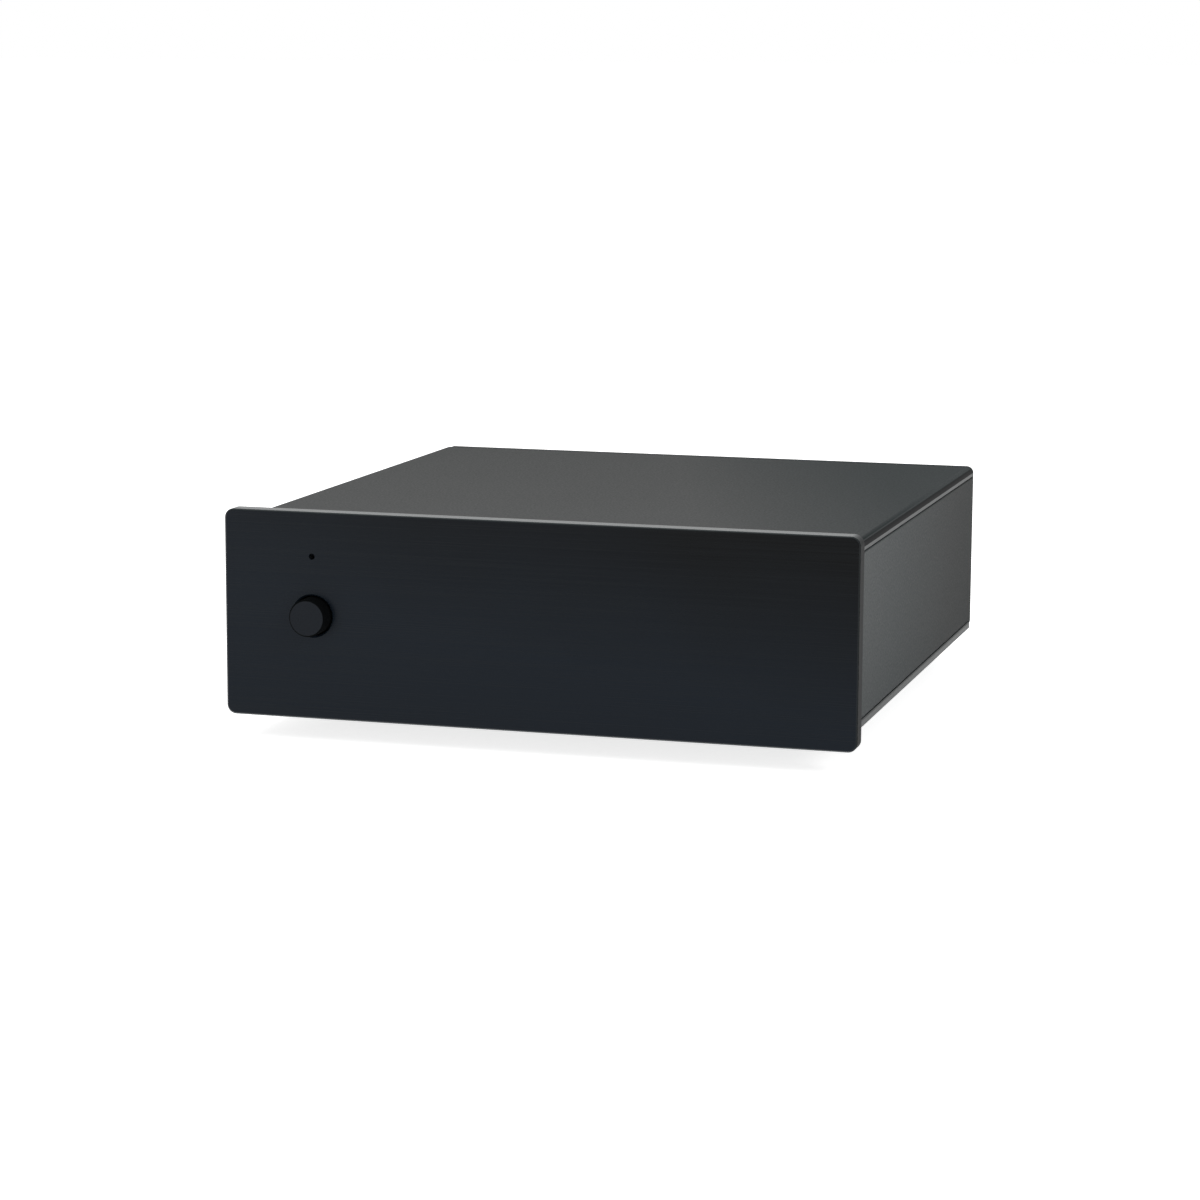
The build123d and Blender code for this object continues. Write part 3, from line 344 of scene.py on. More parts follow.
def satin_black_anodised_aluminium(finish, name, shine, coarser, end, patches=()):
    """Sheet and extrusion blasted before anodising: an even dark grey satin that lightens at low
    angles, with faint clouds from the dye bath. The blast marks of 0.05 mm are drawn larger, so
    that they show. coarser is how much rougher the blast gets per metre along each axis. end is
    a BlueEnd, and patches are Patches."""
    middle_place = (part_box("top_cover")[1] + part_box("bottom_cover")[0]) / 2
    plain_gloss, mark_gloss, pit_share = 0.47, 0.1, 0.3

    def describe(add, point):
        centred = add("VectorMath", {0: point, 1: middle_place}, operation="SUBTRACT")
        along = add("VectorMath", {0: centred, 1: end.direction}, "Value", operation="DOT_PRODUCT")
        near_end = add("MapRange", {"Value": along, "From Min": end.start, "From Max": end.full})
        blast = grain(add, {"Vector": point, "Scale": 1 / finish.blast_grain})
        pits = add("Math", {0: blast, 1: pit_share}, operation="MULTIPLY")
        deep, thin = shades(finish.case, low=0.75, high=1.3)
        cloud = add("TexNoise", {"Vector": point, "Scale": 1 / finish.dye_cloud})
        even = add("Mix", {0: cloud, 6: deep, 7: thin}, 2, data_type="RGBA")
        dye = add("Mix", {0: near_end, 6: even, 7: finish.case_end}, 2, data_type="RGBA")
        paint = add("Mix", {0: pits, 6: dye, 7: finish.case_pit}, 2, data_type="RGBA")
        rougher = add("VectorMath", {0: centred, 1: coarser}, "Value", operation="DOT_PRODUCT")
        plain = add("Math", {0: rougher, 1: plain_gloss}, operation="ADD")
        coarse = add("Math", {0: near_end, 1: end.extra, 2: plain}, operation="MULTIPLY_ADD")
        gloss = add("Math", {0: blast, 1: mark_gloss, 2: coarse}, operation="MULTIPLY_ADD")
        across, _, up = add("SeparateXYZ", {"Vector": point}, None)
        out = add("Math", {0: across}, operation="ABSOLUTE")
        for patch in patches:
            beside, level = (
                add("Math", {0: value, 1: (least + most) / 2, 2: (most - least) / 2}, operation="COMPARE")
                for value, (least, most) in ((out, patch.reach), (up, patch.heights))
            )
            on_patch = add("Math", {0: beside, 1: level}, operation="MULTIPLY")
            paint = add("Mix", {0: on_patch, 6: paint, 7: patch.paint}, 2, data_type="RGBA")
            gloss = add("Mix", {0: on_patch, 2: gloss, 3: patch.roughness})
        return {
            "Base Color": paint,
            "Roughness": gloss,
            "Specular IOR Level": shine,
            "Normal": add("Bump", {"Height": blast, "Distance": 0.02 * MM, "Strength": 0.35}),
        }
    return make_material(name, describe)


def turned_black_anodised_aluminium(finish, axis, rim):
    """A bar turned on a lathe and dyed black: feed marks run round its axis, as rings on the end
    and as hoops on the side, which from rim outward is dull and deep black. The 0.05 mm marks
    are drawn coarser, so that they show."""
    least_gloss, most_gloss, side_gloss, crest_share = 0.3, 0.42, 0.95, 0.5

    def describe(add, point):
        flat = add("Mapping", {"Vector": point, "Location": (-axis.x, 0, -axis.z), "Scale": (1, 0, 1)})
        radius = add("VectorMath", {0: flat}, "Value", operation="LENGTH")
        along = add("SeparateXYZ", {"Vector": point}, "Y")
        path = add("Math", {0: along, 1: radius}, operation="SUBTRACT")
        feed = add("Math", {0: path, 1: 1 / finish.turned_pitch}, operation="MULTIPLY")
        rings = grain(add, {"W": feed, "Scale": 1.0}, noise_dimensions="1D")
        crests = add("Math", {0: rings, 1: crest_share}, operation="MULTIPLY")
        dye = add("Mix", {0: crests, 6: finish.button, 7: finish.brush_line}, 2, data_type="RGBA")
        gloss = add("MapRange", {"Value": rings, "To Min": least_gloss, "To Max": most_gloss})
        side = add("Math", {0: radius, 1: rim}, operation="GREATER_THAN")
        return {
            "Base Color": add("Mix", {0: side, 6: dye, 7: finish.deep_dye}, 2, data_type="RGBA"),
            "Roughness": add("Mix", {0: side, 2: gloss, 3: side_gloss}),
            "Specular IOR Level": 0.07,
            "Normal": add("Bump", {"Height": rings, "Distance": 0.01 * MM, "Strength": 0.5}),
        }
    return make_material("turned_black_anodised_aluminium", describe)


def mottled_material(name, paint, extra, **look):
    """A material with one fine mottle all over, whose look is given as to mottled. extra has the
    rest of its Principled inputs."""
    return make_material(name, lambda add, point: {**mottled(add, point, paint, **look), **extra})


def moulded_rubber(finish):
    """Matt black rubber from a sparked mould of about 0.3 mm grit: soft and dusty, with hardly
    any gloss."""
    return mottled_material(
        "moulded_rubber", finish.rubber, {"Specular IOR Level": 0.3, "Sheen Weight": 0.08},
        spot=0.3 * MM, contrast=(0.7, 1.5), gloss=(0.72, 0.88), relief=0.03 * MM,
    )


def plated_metal(name, paint, roughness, mark):
    """Bright plating on turned brass or pressed steel: a mirror broken up by faint marks of the
    tool or the barrel that it tumbled in, mark across."""
    return mottled_material(
        name, paint, {"Metallic": 1.0},
        spot=mark, contrast=(0.94, 1.04), gloss=(roughness * 0.85, roughness * 1.25), relief=0.003 * MM,
    )


def black_passivated_zinc(finish):
    """Steel screws in black zinc: a dark film over metal, half dull, with cloudy 0.5 mm spots."""
    return mottled_material(
        "black_passivated_zinc", finish.black_zinc, {"Metallic": 0.4},
        spot=0.5 * MM, contrast=(0.7, 1.6), gloss=(0.3, 0.45), relief=0.006 * MM,
    )


def moulded_plastic(name, paint, roughness):
    """Moulded nylon or PBT: even colour, a soft gloss and the 0.5 mm orange peel of the mould."""
    return mottled_material(
        name, paint, {"IOR": 1.53, "Specular IOR Level": 0.4},
        spot=0.5 * MM, contrast=(0.92, 1.08), gloss=(roughness * 0.9, roughness * 1.12), relief=0.01 * MM,
    )


def cast_epoxy(name, paint, roughness):
    """Epoxy cast or moulded round a part: slightly uneven colour under a smooth skin."""
    return mottled_material(
        name, paint, {"IOR": 1.55},
        spot=1.4 * MM, contrast=(0.85, 1.15), gloss=(roughness * 0.85, roughness * 1.2), relief=0.015 * MM,
    )


def smoky_epoxy_lens(finish):
    """The pilot light's smoky epoxy: dark while it is off, with a glassy dome."""
    return mottled_material(
        "smoky_epoxy_lens", finish.lamp, {"IOR": 1.55, "Transmission Weight": 0.35},
        spot=2.0 * MM, contrast=(0.9, 1.1), gloss=(0.06, 0.12), relief=0.002 * MM,
    )


def tabbed_epoxy(finish, tab_x):
    """The regulator: moulded epoxy on a tin-plated copper tab, which is all that lies left of
    tab_x."""
    def describe(add, point):
        surface = mottled(
            add, point, finish.epoxy, spot=0.8 * MM, contrast=(0.85, 1.2), gloss=(0.4, 0.55),
            relief=0.01 * MM,
        )
        across = add("SeparateXYZ", {"Vector": point})
        tab = add("Math", {0: across, 1: tab_x}, operation="LESS_THAN")
        painted = surface["Base Color"]
        surface["Base Color"] = add("Mix", {0: tab, 6: painted, 7: finish.tin}, 2, data_type="RGBA")
        surface["Metallic"] = tab
        return surface
    return make_material("moulded_epoxy_on_tinned_copper", describe)


def solder_masked_laminate(finish):
    """Glass-epoxy board under green mask: tracks about 3 mm apart show through it as paler bands
    that stand a little proud, and the mask gives a wet gloss."""
    bricks_per_metre = (320, 200, 1)
    black, white = (0, 0, 0, 1), (1, 1, 1, 1)

    def describe(add, point):
        spaced = add("Mapping", {"Vector": point, "Scale": bricks_per_metre})
        tracks = add("TexBrick", {
            "Vector": spaced, "Scale": 1.0, "Mortar Size": 0.07, "Brick Width": 1.4, "Row Height": 0.8,
            "Color1": black, "Color2": black, "Mortar": white,
        })
        surface = mottled(
            add, point, finish.mask, spot=0.6 * MM, contrast=(0.85, 1.12), gloss=(0.26, 0.36)
        )
        masked = surface["Base Color"]
        surface["Base Color"] = add("Mix", {0: tracks, 6: masked, 7: finish.track}, 2, data_type="RGBA")
        surface["Normal"] = add("Bump", {"Height": tracks, "Distance": 0.035 * MM, "Strength": 0.6})
        surface["IOR"] = 1.55
        return surface
    return make_material("solder_masked_laminate", describe)


def material_of(name, make, *values):
    """The named material, made the first time that it is asked for."""
    return bpy.data.materials.get(name) or make(name, *values)


def gold(finish):
    return material_of("gold_plated_brass", plated_metal, finish.gold, 0.2, 0.7 * MM)


def nickel(finish):
    return material_of("nickel_plated_brass", plated_metal, finish.nickel, 0.22, 0.6 * MM)


def zinc(finish):
    return material_of("zinc_plated_steel", plated_metal, finish.zinc, 0.34, 1.2 * MM)


def nylon(finish, shade):
    """Moulded nylon in the setting called shade."""
    return material_of(f"moulded_{shade}", moulded_plastic, getattr(finish, shade), 0.42)


# --- Making pieces ------------------------------------------------------------------------


def dress(nodes, material):
    """Gives CAD nodes their finish."""
    for node in nodes:
        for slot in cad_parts[node].material_slots:
            slot.material = material


def middle(node):
    """The middle of a CAD node."""
    low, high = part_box(node)
    return (low + high) / 2


def solids(node):
    """The lowest and highest corners of each separate solid of a CAD node."""
    shape = bmesh.new()
    shape.from_mesh(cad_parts[node].data)
    bmesh.ops.remove_doubles(shape, verts=shape.verts, dist=MERGED)
    left = set(shape.verts)
    boxes = []
    while left:
        solid = {left.pop()}
        front = list(solid)
        while front:
            around = {edge.other_vert(vert) for vert in front for edge in vert.link_edges} - solid
            solid |= around
            front = list(around)
        left -= solid
        sides = list(zip(*(vert.co for vert in solid)))
        boxes.append((Vector([min(side) for side in sides]), Vector([max(side) for side in sides])))
    shape.free()
    return sorted(boxes, key=lambda box: tuple(box[0]))


ALONG = {"Y": Matrix.Rotation(math.radians(-90), 4, "X"), "Z": Matrix.Identity(4)}
QUARTER_TURN = [math.radians(degrees) for degrees in range(0, 91, 15)]


def turned(profile, centre, along="Y", steps=64):
    """A closed turned shape: (radius, place along the axis) points spun about an axis that runs
    through centre along Y or Z."""
    shape = bmesh.new()
    points = [shape.verts.new((radius, 0, height)) for radius, height in profile]
    edges = [shape.edges.new(pair) for pair in zip(points, points[1:] + points[:1])]
    bmesh.ops.spin(
        shape, geom=points + edges, cent=(0, 0, 0), axis=(0, 0, 1), angle=math.tau,
        steps=steps, use_merge=True,
    )
    heal(shape)
    bmesh.ops.transform(shape, matrix=ALONG[along], verts=shape.verts)
    axis = (centre.x, 0, centre.z) if along == "Y" else (centre.x, centre.y, 0)
    bmesh.ops.translate(shape, vec=axis, verts=shape.verts)
    return shape


def heal(shape):
    """Merges the doubled points that an operator leaves."""
    bmesh.ops.remove_doubles(shape, verts=shape.verts, dist=MERGED)
    bmesh.ops.dissolve_degenerate(shape, edges=shape.edges, dist=MERGED / 2)


def round_edges(shape, edges, width, segments):
    """Rounds the edges given to the radius width."""
    bmesh.ops.bevel(
        shape, geom=edges, offset=width, offset_type="OFFSET", segments=segments, profile=0.5,
        affect="EDGES", material=-1, clamp_overlap=True,
    )
    heal(shape)


def soften(shape, width, segments=2, least=35.0):
    """Rounds the edges that turn by more than least degrees."""
    sharp = [
        edge for edge in shape.edges
        if edge.is_manifold and edge.calc_face_angle() > math.radians(least)
    ]
    round_edges(shape, sharp, width, segments)


def join(shape, other):
    """Moves the geometry of the shape other into shape."""
    mesh = bpy.data.meshes.new("joining")
    other.to_mesh(mesh)
    other.free()
    shape.from_mesh(mesh)
    bpy.data.meshes.remove(mesh)


def copy_to(shape, placings):
    """Copies the shape to each placing, which is a matrix, and leaves none where it stood."""
    first = shape.verts[:] + shape.edges[:] + shape.faces[:]
    own = shape.verts[:]
    for placing in placings:
        copy = bmesh.ops.duplicate(shape, geom=first)["geom"]
        points = [part for part in copy if isinstance(part, bmesh.types.BMVert)]
        bmesh.ops.transform(shape, matrix=placing, verts=points)
    bmesh.ops.delete(shape, geom=own, context="VERTS")


def six_sided(direction, flat):
    """How far from its axis a hexagon's outline lies in a direction. A corner is at 0, and flat is
    half the width over its flats."""
    return flat / math.cos(direction % math.radians(60) - math.radians(30))


def finish_piece(name, shape, body, materials, stands_for=()):
    """Makes the shape a piece that rides on a body and stands for CAD nodes."""
    bmesh.ops.recalc_face_normals(shape, faces=shape.faces)
    mesh = bpy.data.meshes.new(name)
    shape.to_mesh(mesh)
    shape.free()
    mesh.shade_smooth()
    mesh.set_sharp_from_angle(angle=math.radians(32))
    for material in materials:
        mesh.materials.append(material)
    piece = bpy.data.objects.new(name, mesh)
    bpy.context.scene.collection.objects.link(piece)
    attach(piece, body)
    if stands_for:
        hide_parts(*stands_for)
    return piece


class PreampOperator:
    """What every operator here shares"""

    bl_options = {"REGISTER", "UNDO"}

    @property
    def finish(self):
        return bpy.context.scene.preamp_finish

    @property
    def sizes(self):
        return bpy.context.scene.preamp_sizes


# --- Operators ----------------------------------------------------------------------------


class PREAMP_OT_case(PreampOperator, bpy.types.Operator):
    """Finishes the covers, rails, rear panel and subframe, and rounds the top cover anew"""

    bl_idname = "preamp.case"
    bl_label = "Case"

    def execute(self, context):
        finish = self.finish
        low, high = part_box("bottom_cover")[0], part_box("top_cover")[1]
        round_start, round_end = high.z - self.sizes.cover_round - 0.1 * MM, high.z - 0.4 * MM
        rounding = Patch(
            (high.x - MM, high.x + MM), (round_start, round_end), finish.deep_dye, roughness=0.75
        )
        cut_edge = Patch(
            (high.x - 0.5 * MM, high.x + MM), (low.z, round_start), finish.cut_edge, roughness=0.42
        )
        at_right = BlueEnd(direction=(0.95, 0.3, 0), start=0.01, full=0.045, extra=0.11)
        at_front = BlueEnd(direction=(0, -1, 0), start=-0.03, full=0.02, extra=0.0)
        sheet, extrusion, cover = (
            satin_black_anodised_aluminium(finish, f"satin_black_anodised_{stock}", *look)
            for stock, *look in (
                ("sheet", 0.1, (0, 0, 0), at_right),
                ("extrusion", 0.048, (0, 1.5, -1.8), at_front),
                ("cover", 0.1, (0, 0.6, 0), at_right, (rounding, cut_edge)),
            )
        )
        dress(("rear_panel",), sheet)
        dress(("left_rail", "right_rail"), extrusion)
        dress(("bottom_cover",), cover)
        dress(("front_subframe",), zinc(finish))
        self.top_cover(cover)
        return {"FINISHED"}

    def top_cover(self, material):
        """The top cover with its upper side edges well rounded, and nearly sharp at the grooves."""
        sizes = self.sizes
        low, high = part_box("top_cover")
        inner = high.z - sizes.cover_thick
        shape = bmesh.new()
        shape.from_mesh(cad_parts["top_cover"].data)
        heal(shape)
        bmesh.ops.dissolve_limit(
            shape, angle_limit=math.radians(1), verts=shape.verts, edges=shape.edges
        )
        for vert in shape.verts:
            if abs(vert.co.x) > high.x - sizes.cover_round - NEAR:
                upper = vert.co.z > high.z - sizes.cover_round / 2
                vert.co.x = math.copysign(high.x, vert.co.x)
                vert.co.z = high.z if upper else inner
        heal(shape)
        for height, width, segments in ((high.z, sizes.cover_round, 12), (inner, sizes.cover_lip, 2)):
            corners = {
                vert for vert in shape.verts
                if abs(vert.co.x) > high.x - NEAR and abs(vert.co.z - height) < NEAR
            }
            long_edges = [
                edge for edge in shape.edges
                if corners.issuperset(edge.verts) and edge.calc_length() > (high.y - low.y) / 2
            ]
            round_edges(shape, long_edges, width, segments)
        piece = finish_piece(
            "rounded_top_cover", shape, "case", [material], ["top_cover"]
        )
        # Smooth shading would tilt the light on the large flat faces beside the rounding.
        large = 30 * MM * MM
        for face in piece.data.polygons:
            face.use_smooth = face.area < large


class PREAMP_OT_front_plate(PreampOperator, bpy.types.Operator):
    """Finishes the front plate"""

    bl_idname = "preamp.front_plate"
    bl_label = "Front plate"

    def execute(self, context):
        dress(("front_plate",), brushed_black_anodised_aluminium(self.finish))
        return {"FINISHED"}


class PREAMP_OT_power_button(PreampOperator, bpy.types.Operator):
    """Finishes the push button, its plunger and its switch"""

    bl_idname = "preamp.power_button"
    bl_label = "Power button"

    def execute(self, context):
        low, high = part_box("power_button")
        dull_edge = 0.25 * MM
        rim = (high.x - low.x) / 2 - dull_edge
        dress(
            ("power_button",),
            turned_black_anodised_aluminium(self.finish, middle("power_button"), rim),
        )
        dress(("switch_plunger",), nylon(self.finish, "white_nylon"))
        dress(("power_switch",), nylon(self.finish, "switch_plastic"))
        return {"FINISHED"}


class PREAMP_OT_pilot_light(PreampOperator, bpy.types.Operator):
    """Finishes the pilot light and its holder"""

    bl_idname = "preamp.pilot_light"
    bl_label = "Pilot light"

    def execute(self, context):
        dress(("power_led",), smoky_epoxy_lens(self.finish))
        dress(("led_holder",), nylon(self.finish, "black_nylon"))
        return {"FINISHED"}


class PREAMP_OT_feet(PreampOperator, bpy.types.Operator):
    """Models the four moulded rubber feet, each with a dished sole"""

    bl_idname = "preamp.feet"
    bl_label = "Feet"

    def execute(self, context):
        rubber = moulded_rubber(self.finish)
        dish = self.sizes.foot_dish
        for corner in FEET:
            node = f"foot_{corner}"
            low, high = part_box(node)
            top = (high.x - low.x) / 2
            sole = top - math.tan(self.sizes.foot_taper) * (high.z - low.z)
            dish_rim, dish_floor = sole * 0.62, sole * 0.55
            shape = turned(
                [
                    (0, high.z), (top, high.z), (sole, low.z), (dish_rim, low.z),
                    (dish_floor, low.z + dish), (0, low.z + dish),
                ],
                middle(node), along="Z",
            )
            soften(shape, self.sizes.foot_round, segments=4)
            finish_piece(f"rubber_foot_{corner}", shape, "case", [rubber], [node])
        return {"FINISHED"}


class PREAMP_OT_phono_sockets(PreampOperator, bpy.types.Operator):
    """Models the sockets' plated shells and slotted contacts, and finishes their mouldings"""

    bl_idname = "preamp.phono_sockets"
    bl_label = "Phono sockets"

    def execute(self, context):
        for socket in SOCKETS:
            shade = "red_nylon" if socket.endswith("right") else "white_nylon"
            dress((f"{socket}_socket_insulator",), nylon(self.finish, shade))
            dress((f"{socket}_socket_body",), nylon(self.finish, "black_nylon"))
            self.shell(socket)
        self.contacts()
        return {"FINISHED"}

    def shell(self, socket):
        """A turned shell with a rounded rim, thinner where it is seated in the socket's body."""
        node = f"{socket}_socket_shell"
        low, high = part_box(node)
        outer = (high.x - low.x) / 2
        insulator_low, insulator_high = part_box(f"{socket}_socket_insulator")
        bore = (insulator_high.x - insulator_low.x) / 2
        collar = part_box(f"{socket}_socket_body")[1].y
        seat = bore + (outer - bore) * 0.6
        shape = turned(
            [
                (bore, low.y), (seat, low.y), (seat, collar), (outer, collar), (outer, high.y),
                (bore, high.y),
            ],
            middle(node), steps=72,
        )
        soften(shape, self.sizes.rim_round, segments=4)
        finish_piece(f"{socket}_shell_turned", shape, "case", [gold(self.finish)], [node])

    def contacts(self):
        """Sleeves whose mouth is drawn out into four fingers, which pinch a little at the tip."""
        sizes = self.sizes
        low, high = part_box("socket_contacts")
        outer = (high.z - low.z) / 2
        bore = outer - sizes.contact_wall
        floor = low.y + sizes.contact_wall
        root = high.y - sizes.contact_slot_depth
        sleeve = turned(
            [(0, low.y), (outer, low.y), (outer, root), (bore, root), (bore, floor), (0, floor)],
            Vector((0, 0, 0)),
        )
        half_slot = math.asin(sizes.contact_slot / 2 / outer)
        quarter = math.tau / 4
        fingers = []
        for face in sleeve.faces:
            centre = face.calc_center_median()
            turn = math.atan2(centre.z, centre.x) % quarter
            if centre.y > root - NEAR and half_slot < turn < quarter - half_slot:
                fingers.append(face)
        lip = high.y - 2 * sizes.contact_pinch
        for height, pinch in ((lip, 0), (high.y, sizes.contact_pinch)):
            drawn = bmesh.ops.extrude_face_region(sleeve, geom=fingers)["geom"]
            bmesh.ops.delete(sleeve, geom=fingers, context="FACES")
            fingers = [part for part in drawn if isinstance(part, bmesh.types.BMFace)]
            for vert in {vert for face in fingers for vert in face.verts}:
                radius = math.hypot(vert.co.x, vert.co.z)
                share = 1 - pinch * (1 if radius > (bore + outer) / 2 else 0.5) / radius
                vert.co = (vert.co.x * share, height, vert.co.z * share)
        axes = [middle(f"{socket}_socket_shell") for socket in SOCKETS]
        copy_to(sleeve, [Matrix.Translation((axis.x, 0, axis.z)) for axis in axes])
        finish_piece(
            "slotted_contacts", sleeve, "case", [gold(self.finish)], ["socket_contacts"]
        )


class PREAMP_OT_ground_terminal(PreampOperator, bpy.types.Operator):
    """Models the threaded ground post, its lock nut, washer and knurled thumb nut"""

    bl_idname = "preamp.ground_terminal"
    bl_label = "Ground terminal"

    def execute(self, context):
        self.post()
        self.lock_nut()
        self.washer()
        self.thumb_nut()
        return {"FINISHED"}

    def post(self):
        """The outline of the thread, one ridge per pitch, is spun once round and lifted by one
        pitch, so that its ridges meet. It is cut flat at both ends and led in at the tip."""
        sizes = self.sizes
        low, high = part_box("ground_post")
        axis = middle("ground_post")
        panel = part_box("rear_panel")[0].y
        pitch, crest = sizes.thread_pitch, sizes.post_radius
        root = crest - sizes.thread_depth
        ridge = ((crest, 0.0), (crest, pitch * 0.1), (root, pitch * 0.45), (root, pitch * 0.55))
        pitches = range(-1, math.ceil((high.y - panel) / pitch) + 2)
        shape = bmesh.new()
        points = [
            shape.verts.new((radius, 0, panel + turn * pitch + step))
            for turn in pitches for radius, step in ridge
        ]
        edges = [shape.edges.new(pair) for pair in zip(points, points[1:])]
        steps = 48
        bmesh.ops.spin(
            shape, geom=points + edges, cent=(0, 0, 0), axis=(0, 0, 1), angle=math.tau,
            steps=steps, dvec=(0, 0, pitch / steps), use_merge=False,
        )
        bmesh.ops.remove_doubles(shape, verts=shape.verts, dist=2 * MERGED)
        for cut, outward in ((panel, -1), (high.y, 1)):
            bmesh.ops.bisect_plane(
                shape, geom=shape.verts[:] + shape.edges[:] + shape.faces[:], dist=1e-8,
                plane_co=(0, 0, cut), plane_no=(0, 0, outward), clear_outer=True,
            )
        for vert in shape.verts:
            most = crest - max(0.0, vert.co.z - (high.y - sizes.thread_lead))
            radius = math.hypot(vert.co.x, vert.co.y)
            if radius > most:
                vert.co.x *= most / radius
                vert.co.y *= most / radius
        bmesh.ops.holes_fill(shape, edges=[edge for edge in shape.edges if edge.is_boundary], sides=0)
        bmesh.ops.transform(shape, matrix=ALONG["Y"], verts=shape.verts)
        bmesh.ops.translate(shape, vec=(axis.x, 0, axis.z), verts=shape.verts)
        corner = six_sided(0, (high.z - low.z) / 2)
        head = turned([(0, low.y), (corner, low.y), (corner, panel), (0, panel)], axis, steps=6)
        soften(head, sizes.nut_bevel / 2)
        join(shape, head)
        finish_piece(
            "threaded_ground_post", shape, "case", [gold(self.finish)], ["ground_post"]
        )

    def lock_nut(self):
        """A hexagon nut, whose corners are turned off at 30 degrees at both ends."""
        low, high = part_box("ground_lock_nut")
        axis = middle("ground_lock_nut")
        flat = (high.z - low.z) / 2
        bore, bevel = self.sizes.post_radius, self.sizes.nut_bevel
        face = flat * 0.97
        corners_from = face * 1.01
        shape = turned(
            [
                (bore + bevel, low.y), (face, low.y), (flat, low.y), (flat, high.y), (face, high.y),
                (bore + bevel, high.y), (bore, high.y - bevel), (bore, low.y + bevel),
            ],
            axis, steps=72,
        )
        for vert in shape.verts:
            arm = Vector((vert.co.x - axis.x, 0, vert.co.z - axis.z))
            if arm.length > corners_from:
                reach = six_sided(math.atan2(arm.z, arm.x), flat)
                drop = (reach - face) * math.tan(math.radians(30))
                arm *= reach / arm.length
                inward = drop if vert.co.y < axis.y else -drop
                vert.co = (axis.x + arm.x, vert.co.y + inward, axis.z + arm.z)
        finish_piece(
            "hexagon_lock_nut", shape, "case", [nickel(self.finish)], ["ground_lock_nut"]
        )

    def washer(self):
        """A flat washer with its edges tumbled round."""
        low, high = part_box("ground_washer")
        outer = (high.x - low.x) / 2
        bore = self.sizes.post_radius + self.sizes.nut_gap
        shape = turned(
            [(bore, low.y), (outer, low.y), (outer, high.y), (bore, high.y)], middle("ground_washer")
        )
        soften(shape, self.sizes.nut_bevel / 2)
        finish_piece(
            "turned_washer", shape, "washer", [nickel(self.finish)], ["ground_washer"]
        )

    def thumb_nut(self):
        """A knurled drum on a plain collar, bevelled at both ends and dished round its bore."""
        sizes = self.sizes
        low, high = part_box("ground_thumb_nut")
        axis = middle("ground_thumb_nut")
        outer = (high.z - low.z) / 2
        bore = sizes.post_radius + sizes.nut_gap
        drum = low.y + sizes.thumb_collar_long
        bevel = sizes.nut_bevel
        dish, dish_rim, dish_floor = high.y - bevel / 2, outer * 0.72, outer * 0.68
        knurled_from = outer * 0.995
        shape = turned(
            [
                (bore, low.y), (sizes.thumb_collar, low.y), (sizes.thumb_collar, drum),
                (outer - bevel, drum), (outer, drum + bevel), (outer, high.y - bevel),
                (outer - bevel, high.y), (dish_rim, high.y), (dish_floor, dish), (bore + bevel, dish),
                (bore, dish - bevel),
            ],
            axis, steps=sizes.knurls * 4,
        )
        for vert in shape.verts:
            arm = Vector((vert.co.x - axis.x, 0, vert.co.z - axis.z))
            if arm.length > knurled_from:
                turn = math.atan2(arm.z, arm.x) / math.tau * sizes.knurls
                to_ridge = 1 - abs(turn - round(turn)) * 2
                arm *= 1 - sizes.knurl_depth * to_ridge / outer
                vert.co = (axis.x + arm.x, vert.co.y, axis.z + arm.z)
        finish_piece(
            "knurled_thumb_nut", shape, "thumb_nut", [gold(self.finish)],
            ["ground_thumb_nut"],
        )


class PREAMP_OT_supply_jack(PreampOperator, bpy.types.Operator):
    """Finishes the supply jack and models its round-nosed centre pin"""

    bl_idname = "preamp.supply_jack"
    bl_label = "Supply jack"

    def execute(self, context):
        dress(("supply_jack",), nylon(self.finish, "black_nylon"))
        low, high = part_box("supply_jack_pin")
        radius = (high.x - low.x) / 2
        neck = self.sizes.pin_neck
        floor = high.y - self.sizes.pin_long
        nose = [
            (radius * math.cos(rise), high.y - radius + radius * math.sin(rise)) for rise in QUARTER_TURN
        ]
        shape = turned(
            [(0, low.y), (neck, low.y), (neck, floor), (radius, floor), *nose],
            middle("supply_jack_pin"),
        )
        finish_piece(
            "round_nosed_pin", shape, "case", [nickel(self.finish)], ["supply_jack_pin"]
        )
        return {"FINISHED"}


